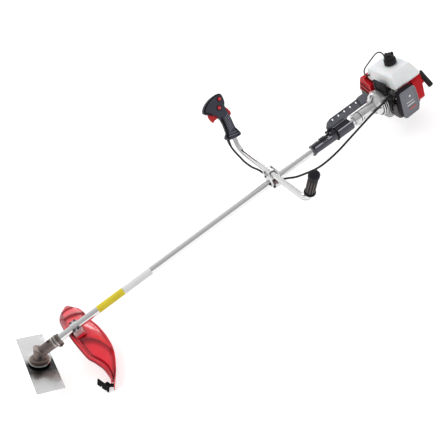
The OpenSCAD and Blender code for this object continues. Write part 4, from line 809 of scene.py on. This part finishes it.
def arm_matrix(side):
    """Frame of an arm of the handlebar in millimetres: z up the arm, x away from the gear head."""
    return (
        Matrix.Translation(CROSSING + Vector((BAR_X, 0, BAR_Z)))
        @ Matrix.Rotation(math.radians(BAR_TILT), 4, "Y")
        @ Matrix.Translation((0, side * CORNER_Y, 0))
        @ Matrix.Rotation(-side * math.radians(90 - BAR_BEND), 4, "X")
        @ Matrix.Translation((0, 0, GRIP_START))
    )


BAR_X = 1078
BAR_Z = 38
BAR_TILT = 13
BAR_BEND = 66
CORNER_Y = 245
GRIP_START = 50
RIGHT_ARM = arm_matrix(1)
LEFT_ARM = arm_matrix(-1)
HANDLE_HALF = 17


def add_block(shape, matrix, middle, size, turn, bevel):
    """Adds a bevelled block to a bmesh, placed in a frame in millimetres."""
    place = Matrix.Translation(middle)
    for axis, angle in zip("XYZ", turn):
        place = place @ Matrix.Rotation(math.radians(angle), 4, axis)
    made = bmesh.ops.create_cube(shape, size=1, matrix=Matrix.Diagonal((*size, 1)))
    edges = list({edge for corner in made["verts"] for edge in corner.link_edges})
    rounded = bmesh.ops.bevel(shape, geom=edges, offset=bevel, segments=2, profile=0.5, affect="EDGES")
    corners = {corner for face in rounded["faces"] for corner in face.verts}
    corners.update(corner for corner in made["verts"] if corner.is_valid)
    for corner in corners:
        corner.co = (matrix @ place @ corner.co) * MM


def blocks(name, finish, matrix, parts):
    """One piece made of bevelled blocks: parts are (middle, size, turn, bevel)."""
    shape = bmesh.new()
    for middle, size, turn, bevel in parts:
        add_block(shape, matrix, middle, size, turn, bevel)
    shade_smooth(new_piece(name, mesh_of(name, shape), finish))


def round_frame(matrix, centre, axis="y"):
    """Place function for turned_mesh: a circle round an axis of a frame in millimetres."""
    def place(along, radius, turn):
        a, b = radius * math.cos(turn), radius * math.sin(turn)
        offset = {"x": (along, a, b), "y": (a, along, b), "z": (a, b, along)}[axis]
        return (matrix @ (Vector(centre) + Vector(offset))) * MM
    return place


# Diagonal ribs on both faces of the grip
blocks("grip_ribs", "rib_grey", RIGHT_ARM, [
    ((-6 + 0.1 * k, side * (HANDLE_HALF + 0.2), 38 + 8.2 * k), (28, 1.8, 2.6), (0, -34, 0), 0.6)
    for k in range(8) for side in (-1, 1)
])
# Black strip along the front of the head and down the front of the grip: painted shade along that edge
SHADE_EDGE_RUNS = [
    [(-35, 12), (-26, 30), (-25, 60), (-28, 88)],
    [
        (-60, 123), (-84, 137), (-83, 146), (-73, 158.5), (-59, 169.5), (-41, 178.5), (-21, 184.5),
        (-4, 187.5), (4, 184),
    ],
]
shade_edge_parts = []
for run in SHADE_EDGE_RUNS:
    for (x0, z0), (x1, z1) in zip(run, run[1:]):
        reach = math.hypot(x1 - x0, z1 - z0)
        lean = -math.degrees(math.atan2(z1 - z0, x1 - x0))
        shade_edge_parts.append(
            (((x0 + x1) / 2, -11.4, (z0 + z1) / 2), (reach + 3, 12.6, 4.4), (0, lean, 0), 1.0)
        )
blocks("handle_painted_edge_shade", "gap_black", RIGHT_ARM, shade_edge_parts)
# Flutes of the lower collar
blocks("handle_trim", "rib_grey", RIGHT_ARM, [
    ((-4, -HANDLE_HALF - 0.1, 14), (46, 1.6, 2.4), (0, 4, 0), 0.6),
    ((-3, -HANDLE_HALF - 0.1, 24), (40, 1.6, 2.0), (0, 4, 0), 0.6),
])
BUTTON_PLACES = [(-8, 168), (-22, 136)]
# Dark red rings round the two buttons: painted shade round their sides
for number, (x, z) in enumerate(BUTTON_PLACES, 1):
    turned_piece(f"button_shade_ring_{number}", "slot_red", [
        (-HANDLE_HALF + 0.3, 8.0), (-HANDLE_HALF - 2.2, 8.2), (-HANDLE_HALF - 2.8, 8.8),
        (-HANDLE_HALF - 2.2, 9.6), (-HANDLE_HALF + 0.3, 10.2),
    ], round_frame(RIGHT_ARM, (x, 0, z)), 48)
# Domes on the two buttons, which move with them
BUTTON_FACE = -20
for body, (x, z) in zip(("stop_switch", "cruise_lock"), BUTTON_PLACES):
    turned_piece(body + "_dome", "button_red", [
        (BUTTON_FACE + 0.4, 0.3), (BUTTON_FACE + 0.4, 6.9), (BUTTON_FACE - 2.4, 6.7),
        (BUTTON_FACE - 4.6, 5.4), (BUTTON_FACE - 5.8, 3), (BUTTON_FACE - 6.2, 0.3),
    ], round_frame(RIGHT_ARM, (x, 0, z)), 40, body, 60)


def boot(name, route, start, end, fat, thin, ribs):
    """Ribbed, tapered strain relief along part of a cord's route."""
    steps = 60
    rows = []
    for k in range(steps + 1):
        part = k / steps
        s = start + (end - start) * part
        here = Vector(curve_point(route, s))
        ahead = (Vector(curve_point(route, s + 0.01)) - Vector(curve_point(route, s - 0.01))).normalized()
        side = ahead.orthogonal().normalized()
        up = ahead.cross(side)
        groove = 0.7 * (0.5 - 0.5 * math.cos(2 * math.pi * ribs * part))
        radius = fat + (thin - fat) * part - groove
        rows.append([
            at_shaft(here + radius * (math.cos(turn) * side + math.sin(turn) * up))
            for turn in (2 * math.pi * n / 24 for n in range(24))
        ])
    shade_smooth(new_piece(name, solid_mesh(name, rows), "black_rubber"), 50)


boot("cable_boot_handle", CABLE_ROUTE, 0.75, 2.3, 7.2, 5.2, 5)
boot("cable_boot_engine", CABLE_ROUTE, 22.6, 21.8, 6.4, 5.0, 4)

# ---------------------------------------------------------------- plain grip and handlebar clamp

# Lengthwise ribs round the middle of the plain grip
blocks("plain_grip_ribs", "rib_brown", LEFT_ARM @ Matrix.Rotation(math.radians(15), 4, "Z"), [
    (
        (17.4 * math.cos(math.radians(30 * k)), 17.4 * math.sin(math.radians(30 * k)), 45),
        (1.4, 4.4, 66), (0, 0, 30 * k), 0.5,
    )
    for k in range(12)
])


def star_mesh(name, matrix, centre, lobes, reach, depth, height):
    """Lobed clamping knob round the y axis of a frame, in millimetres."""
    rows = []
    for y, share in [(0, 0.86), (1, 1), (height - 2, 1), (height - 0.6, 0.9), (height, 0.6)]:
        rows.append([])
        for k in range(72):
            turn = 2 * math.pi * k / 72
            radius = (reach - depth * (0.5 - 0.5 * math.cos(lobes * turn))) * share
            offset = Vector((radius * math.cos(turn), -y, radius * math.sin(turn)))
            rows[-1].append((matrix @ (Vector(centre) + offset)) * MM)
    return solid_mesh(name, rows)


BAR = Matrix.Translation(CROSSING + Vector((BAR_X, 0, 0)))
knob = star_mesh("knob", BAR, (-5, -27, 11), 5, 15, 9, 7)
shade_smooth(new_piece("clamp_star_knob", knob, "knob_brown"), 40)
for number, (x, y, z) in enumerate([(-17, -25, -8), (-22, 10, 30), (-26, -14, 6)], 1):
    turned_piece(f"clamp_nut_{number}", "black_steel", [
        (0, 2.2), (0, 5.2), (-3.6, 5.2), (-4.4, 4.4), (-4.4, 2.2),
    ], round_frame(BAR, (x, y, z)), 6)

# ---------------------------------------------------------------- harness plate and hip sleeve

PLATE_LEAN = 41
HIP = Matrix.Translation(CROSSING) @ Matrix.Rotation(-math.radians(PLATE_LEAN), 4, "X")
# Pale strips along the seam of the sleeve and along its sunk panel: painted highlights along those edges
blocks("sleeve_painted_highlights", "rail_grey", HIP, [
    ((1424, side * 15, 25.2), (78, 3, 1.6), (0, 0, 0), 0.6) for side in (-1, 1)
] + [
    ((1327, side * 21.4, 2), (104, 3, 5.4), (0, 0, side * 1.2), 1.1) for side in (-1, 1)
] + [
    ((1426, side * 24.6, 2), (66, 4.4, 4.6), (0, 0, 0), 1.1) for side in (-1, 1)
])
# Dark ribs, a seam ring and two bosses that hold the harness plate
blocks("sleeve_ribs", "sleeve_dark", HIP, [
    ((1288 + 8 * k, 0, 20.4 + 0.3 * k), (3, 20, 2.6), (0, 0, 0), 0.7) for k in range(3)
] + [
    ((1424, 0, 24.4), (58, 20, 2), (0, 0, 0), 0.7)
])
turned_piece("sleeve_seam_ring", "gap_black", [
    (1384.6, 22), (1384.6, 27.2), (1385.2, 27.6), (1387.6, 27.6), (1388.2, 27.2), (1388.2, 22),
], round_frame(HIP, (0, 0, 0), "x"))
for number, (x, y, z) in enumerate([(1358, -11, 24), (1374, -12, 28)], 1):
    turned_piece(f"plate_boss_{number}", "sleeve_dark", [
        (0, 2.2), (0, 7.4), (5.4, 7.4), (6.6, 6.4), (7.2, 3.4), (5.6, 3.0), (5.6, 2.2),
    ], round_frame(HIP, (x, y, z), "z"), 48)
for number, (x, y, z) in enumerate([(1364, -20.6, 15), (1349, -22.6, 8), (1340, -22.8, 4)], 1):
    turned_piece(f"sleeve_screw_{number}", "rim_silver", [
        (1.5, 0.4), (1.5, 2.8), (-0.6, 2.8), (-1.6, 2.2), (-2.0, 1.2), (-1.2, 0.8), (-1.2, 0.4),
    ], round_frame(HIP, (x, y, z)), 32)
# A rim round each hook hole
for k in range(5):
    for side, letter in ((-1, "a"), (1, "b")):
        turned_piece(f"hook_rim_{k + 1}_{letter}", "plate_grey", [
            (side * 2.9, 4.1), (side * 3.7, 4.3), (side * 3.9, 5.4), (side * 3.5, 6.4), (side * 2.9, 6.6),
        ], round_frame(HIP, (1412 + 30 * k, 0, 52)), 40)

# ---------------------------------------------------------------- gear head rings

NECK_R = 20
neck_profile = [(53, NECK_R - 1.2), (53, NECK_R + 0.3)]
for k in range(3):
    neck_profile += [
        (53 + 8 * k + x, NECK_R + r) for x, r in [(1, 0.3), (2, 1.4), (6, 1.4), (7, 0.3)]
    ]
neck_profile += [(78, NECK_R + 0.3), (78, NECK_R - 1.2)]
turned_piece("neck_rings", "neck_grey", neck_profile, round_shaft)


def round_spindle(along, radius, turn):
    """Point on a circle round the spindle's axis, along it from where the axes cross."""
    return at_head((radius * math.cos(turn), radius * math.sin(turn), along))


# Bright rolled rims over and under the wrap guard, with a black ring between them as painted shade in the
# gap
for number, (low_h, high_h, radius) in enumerate([(-32.2, -30.4, 37.9), (-35.5, -34.0, 38.1)], 1):
    turned_piece(f"wrap_rim_{number}", "rim_silver", [
        (low_h, radius - 1.6), (low_h, radius), (low_h + 0.4, radius + 0.5), (high_h - 0.4, radius + 0.5),
        (high_h, radius), (high_h, radius - 1.6),
    ], round_spindle, 128)
turned_piece("wrap_gap_shade", "gap_black", [
    (-33.9, 36), (-33.9, 37.8), (-32.3, 37.8), (-32.3, 36),
], round_spindle, 128)

# ---------------------------------------------------------------- engine dressing


def arc_piece(name, finish, profile, start, end):
    """Part of a turned ring on the shaft between two angles in degrees, closed at both ends."""
    steps = 40
    turns = [math.radians(start + (end - start) * k / steps) for k in range(steps + 1)]
    rows = [[round_shaft(along, radius, turn) for along, radius in profile] for turn in turns]
    shade_smooth(new_piece(name, solid_mesh(name, rows), finish))


# Joint rims of the clutch housing on the operator's left: bright ribs, with black strips between them as
# painted shade in the grooves
for number, (start, radius) in enumerate([(1597, 52.4), (1606, 53.0), (1615, 52.4)], 1):
    arc_piece(f"housing_rim_{number}", "rim_silver", [
        (start, 50), (start, radius), (start + 1, radius + 1.2), (start + 3.4, radius + 1.2),
        (start + 4.4, radius), (start + 4.4, 50),
    ], 160, 262)
    arc_piece(f"housing_groove_shade_{number}", "gap_black", [
        (start + 4.5, 49), (start + 4.5, 52.2), (start + 8.9, 52.2), (start + 8.9, 49),
    ], 158, 264)
# A black ring at the start of the housing's neck: painted shade at its rim
turned_piece("housing_neck_gap_shade", "gap_black", [
    (1506, 22), (1506, 23.5), (1508.6, 23.5), (1508.6, 22),
], round_shaft)


def inset_outline(outline, inset):
    """A convex outline, listed anticlockwise or clockwise, moved inwards by inset."""
    middle = sum((Vector(corner) for corner in outline), Vector((0, 0))) / len(outline)
    result = []
    for k, corner in enumerate(outline):
        here = Vector(corner)
        inward = []
        for other in (Vector(outline[k - 1]), Vector(outline[(k + 1) % len(outline)])):
            along = (other - here).normalized()
            across = Vector((-along.y, along.x))
            inward.append(across if across.dot(middle - here) > 0 else -across)
        result.append(here + (inward[0] + inward[1]) * inset / (1 + inward[0].dot(inward[1])))
    return result


def corners_rounded(outline, radius):
    """The outline with each corner replaced by a soft curve that fits the edges beside it."""
    result = []
    for k, corner in enumerate(outline):
        here = Vector(corner)
        before = Vector(outline[k - 1]) - here
        after = Vector(outline[(k + 1) % len(outline)]) - here
        reach = min(radius, 0.45 * before.length, 0.45 * after.length)
        start = here + before.normalized() * reach
        end = here + after.normalized() * reach
        for n in range(CORNER_STEPS + 1):
            f = n / CORNER_STEPS
            result.append(start * (1 - f) ** 2 + here * (2 * f * (1 - f)) + end * f * f)
    return result


INSET_MOST = 9
CORNER_RADIUS = 6
CORNER_STEPS = 5


def slab(name, finish, outline, profile, replaced):
    """Moulding in the plane along the shaft: profile is (y, inset) pairs from back to front."""
    rows = []
    for y, inset in profile:
        loop = corners_rounded(inset_outline(outline, min(inset, INSET_MOST)), CORNER_RADIUS)
        middle = sum(loop, Vector((0, 0))) / len(loop)
        # Past the largest inset the short edges would cross, so the loop shrinks instead
        shrink = 1 - max(inset - INSET_MOST, 0) / 40
        loop = [middle + (point - middle) * shrink for point in loop]
        rows.append([at_shaft((point.x, y, point.y)) for point in loop])
    shade_smooth(new_piece(name, solid_mesh(name, rows), finish, replaced=replaced), 30)


FILTER_FACE = [
    (1633, -50), (1633, 66), (1700, 64), (1706, 58), (1711, 18), (1713, -27), (1704, -54), (1640, -56),
]
slab("filter_cover_moulding", "cover_grey", FILTER_FACE, [
    (-111.6, 6), (-111.6, 0.6), (-112.4, 0), (-115, 0.4), (-118, 1.6), (-119.6, 3.2), (-120, 5),
    (-120, 8), (-119.4, 8.8), (-118.4, 9.4), (-118.2, 14), (-118.2, 30),
], ["filter_cover"])
slab("filter_box_moulding", "filter_black", FILTER_FACE, [
    (-72, 22), (-78, 14), (-82, 5), (-84, 2.6), (-87, 1.8), (-96, 1.2), (-97, 2.2), (-98.4, 2.2),
    (-99, 1.2), (-111.3, 1), (-111.3, 6),
], ["filter_case"])
ENGINE = Matrix.Translation(CROSSING)
# Rubber cap on the spark plug, ribbed for the fingers and drawn in to the ignition lead
PLUG_LEAN = 100
PLUG = ENGINE @ Matrix.Translation((1662, 0, -71)) @ Matrix.Rotation(math.radians(PLUG_LEAN), 4, "Y")
plug_cap = turned_mesh("plug_cap", [
    (37.6, 4.8), (37.6, 8.2), (38.2, 8.5), (40, 8.5), (40.6, 7.8), (41.8, 7.8), (42.4, 8.5), (44, 8.5),
    (44.6, 7.8), (45.8, 7.8), (46.4, 8.5), (54.6, 8.5), (56.4, 8), (59, 6.4), (60.4, 5.6), (60.4, 0.4),
    (49.4, 0.4), (49.4, 4.8),
], round_frame(PLUG, (0, 0, 0), "z"), 48)
shade_smooth(new_piece("plug_cap", plug_cap, "black_rubber", replaced=["plug_lead"]), 30)
# Ignition coil: a moulded winding on the leg of its steel plates
blocks("ignition_coil_winding", "black_rubber", ENGINE, [
    ((1673, 50.1, -8), (21.6, 11.4, 23), (0, 0, 0), 2),
    ((1673, 50.1, 1), (10, 7, 6), (0, 0, 0), 1),
])
blocks("ignition_coil_plates", "black_steel", ENGINE, [
    ((1673, 45.2 + 1.65 * k, -25.5), (20, 1.1, 12.6), (0, 0, 0), 0.2) for k in range(7)
])
# Dark strips in the two deep slots across the front of the muffler cover: painted shade in the slots
blocks("muffler_cover_slot_shade", "slot_red", ENGINE, [
    ((1629.6, 97, 27), (1.6, 54, 9), (22, 0, 0), 0.5),
    ((1629.6, 106, 6), (1.6, 50, 10), (22, 0, 0), 0.5),
])
blocks("filter_panel_bars", "band_pale", ENGINE, [
    ((1669, -118.6, 10), (34, 1.6, 3.4), (0, 0, 0), 0.5),
    ((1671, -118.6, -3), (38, 1.6, 4.4), (0, 0, 0), 0.5),
])
blocks("filter_panel_red_bar", "bar_red", ENGINE, [
    ((1676, -118.6, -22), (34, 1.6, 9), (0, 0, 0), 0.5),
])
turned_piece("filter_cover_screw", "rim_silver", [
    (-117.6, 0.4), (-117.6, 4.6), (-119.6, 4.4), (-120.4, 3.4), (-120.4, 1.6), (-119.6, 1.2), (-119.6, 0.4),
], round_frame(ENGINE, (1672, 0, 35)), 40)

# ---------------------------------------------------------------- studio

# About half way along the machine, in metres
MIDDLE = 0.8
FLOOR_SIZE = 30
FLOOR_GLOW = 0.42
FLOOR_MIRROR_GLOW = 0.3
floor_shape = bmesh.new()
bmesh.ops.create_grid(floor_shape, x_segments=1, y_segments=1, size=FLOOR_SIZE)
floor = new_object("floor", mesh_of("floor", floor_shape))
floor.location = (MIDDLE, 0, cad_low.z)


def floor_finish():
    """Pale matt floor that reads as white to the camera and keeps the shadow."""
    finish = Finish("floor_white", (0.8, 0.8, 0.8), 0.9, Specular_IOR_Level=0.1)
    finish.tint(finish.noise(0.4, 2), (0.82, 0.82, 0.82))
    seen = finish.add("ShaderNodeLightPath").outputs
    glow = finish.add("ShaderNodeEmission")
    direct = finish.maths("MULTIPLY", seen["Is Camera Ray"], FLOOR_GLOW)
    mirrored = finish.maths("MULTIPLY", seen["Is Glossy Ray"], FLOOR_MIRROR_GLOW)
    finish.link(finish.maths("MAXIMUM", direct, mirrored), glow.inputs["Strength"])
    both = finish.add("ShaderNodeAddShader")
    finish.link(finish.shader.outputs["BSDF"], both.inputs[0])
    finish.link(glow.outputs["Emission"], both.inputs[1])
    finish.link(both.outputs["Shader"], finish.tree.nodes["Material Output"].inputs["Surface"])
    return finish.material


floor.data.materials.append(floor_finish())


def studio_world():
    """White backdrop to the camera, a room that darkens behind the camera in reflections."""
    world = bpy.data.worlds.new("studio")
    room = Nodes(world)
    seen = room.add("ShaderNodeLightPath").outputs
    ray = room.add("ShaderNodeTexCoord").outputs["Generated"]

    def along(way):
        """How far a ray goes along a direction, from -1 to 1."""
        dot = room.add("ShaderNodeVectorMath", operation="DOT_PRODUCT")
        dot.inputs[1].default_value = way
        room.link(ray, dot.inputs[0])
        return dot.outputs["Value"]

    wall = room.ramp(along(BACKDROP_WAY), -1, 1, ROOM_DARK, 1)
    from_seam = room.maths("ABSOLUTE", along(SEAM_ACROSS))
    gap = room.ramp(from_seam, SEAM_HALF * 0.5, SEAM_HALF, curve="SMOOTHSTEP")
    mirrored = room.maths("MULTIPLY", wall, gap)
    level = ROOM_LIGHT
    for kind, value in (("Is Glossy Ray", mirrored), ("Is Transmission Ray", 1), ("Is Camera Ray", 1)):
        mix = room.add("ShaderNodeMix")
        room.link(seen[kind], mix.inputs["Factor"])
        room.feed(level, mix.inputs["A"])
        room.feed(value, mix.inputs["B"])
        level = mix.outputs["Result"]
    glow = room.tree.nodes["Background"]
    room.link(level, glow.inputs["Strength"])
    glow.inputs["Color"].default_value = (1, 1, 1, 1)
    return world


ROOM_LIGHT = 0.84
ROOM_DARK = 0.4
BACKDROP_WAY = (0, 0.772, -0.636)
# A dark gap between two backdrop sheets, seen only in mirror images
SEAM_ACROSS = (0.566, -0.682, 0.463)
SEAM_HALF = 0.024
bpy.context.scene.world = studio_world()


def softbox(name, place, target, size, power, mirrored):
    """A square area lamp that faces the target; metal mirrors it only when asked."""
    data = bpy.data.lights.new(name, "AREA")
    data.size = size
    data.energy = power
    lamp = new_object(name, data)
    lamp.location = place
    lamp.rotation_euler = (Vector(target) - Vector(place)).to_track_quat("-Z", "Y").to_euler()
    lamp.visible_camera = False
    lamp.visible_glossy = mirrored


LAMP_POWER = 26
softbox("key_light", (0.2, 1.4, 3.2), (MIDDLE, 0, 0), 2.0, LAMP_POWER, False)
softbox("low_back_light", (3.0, 3.4, 0.75), (MIDDLE, 0, 0.1), 1.3, LAMP_POWER, True)

bpy.context.scene.view_settings.view_transform = "Standard"
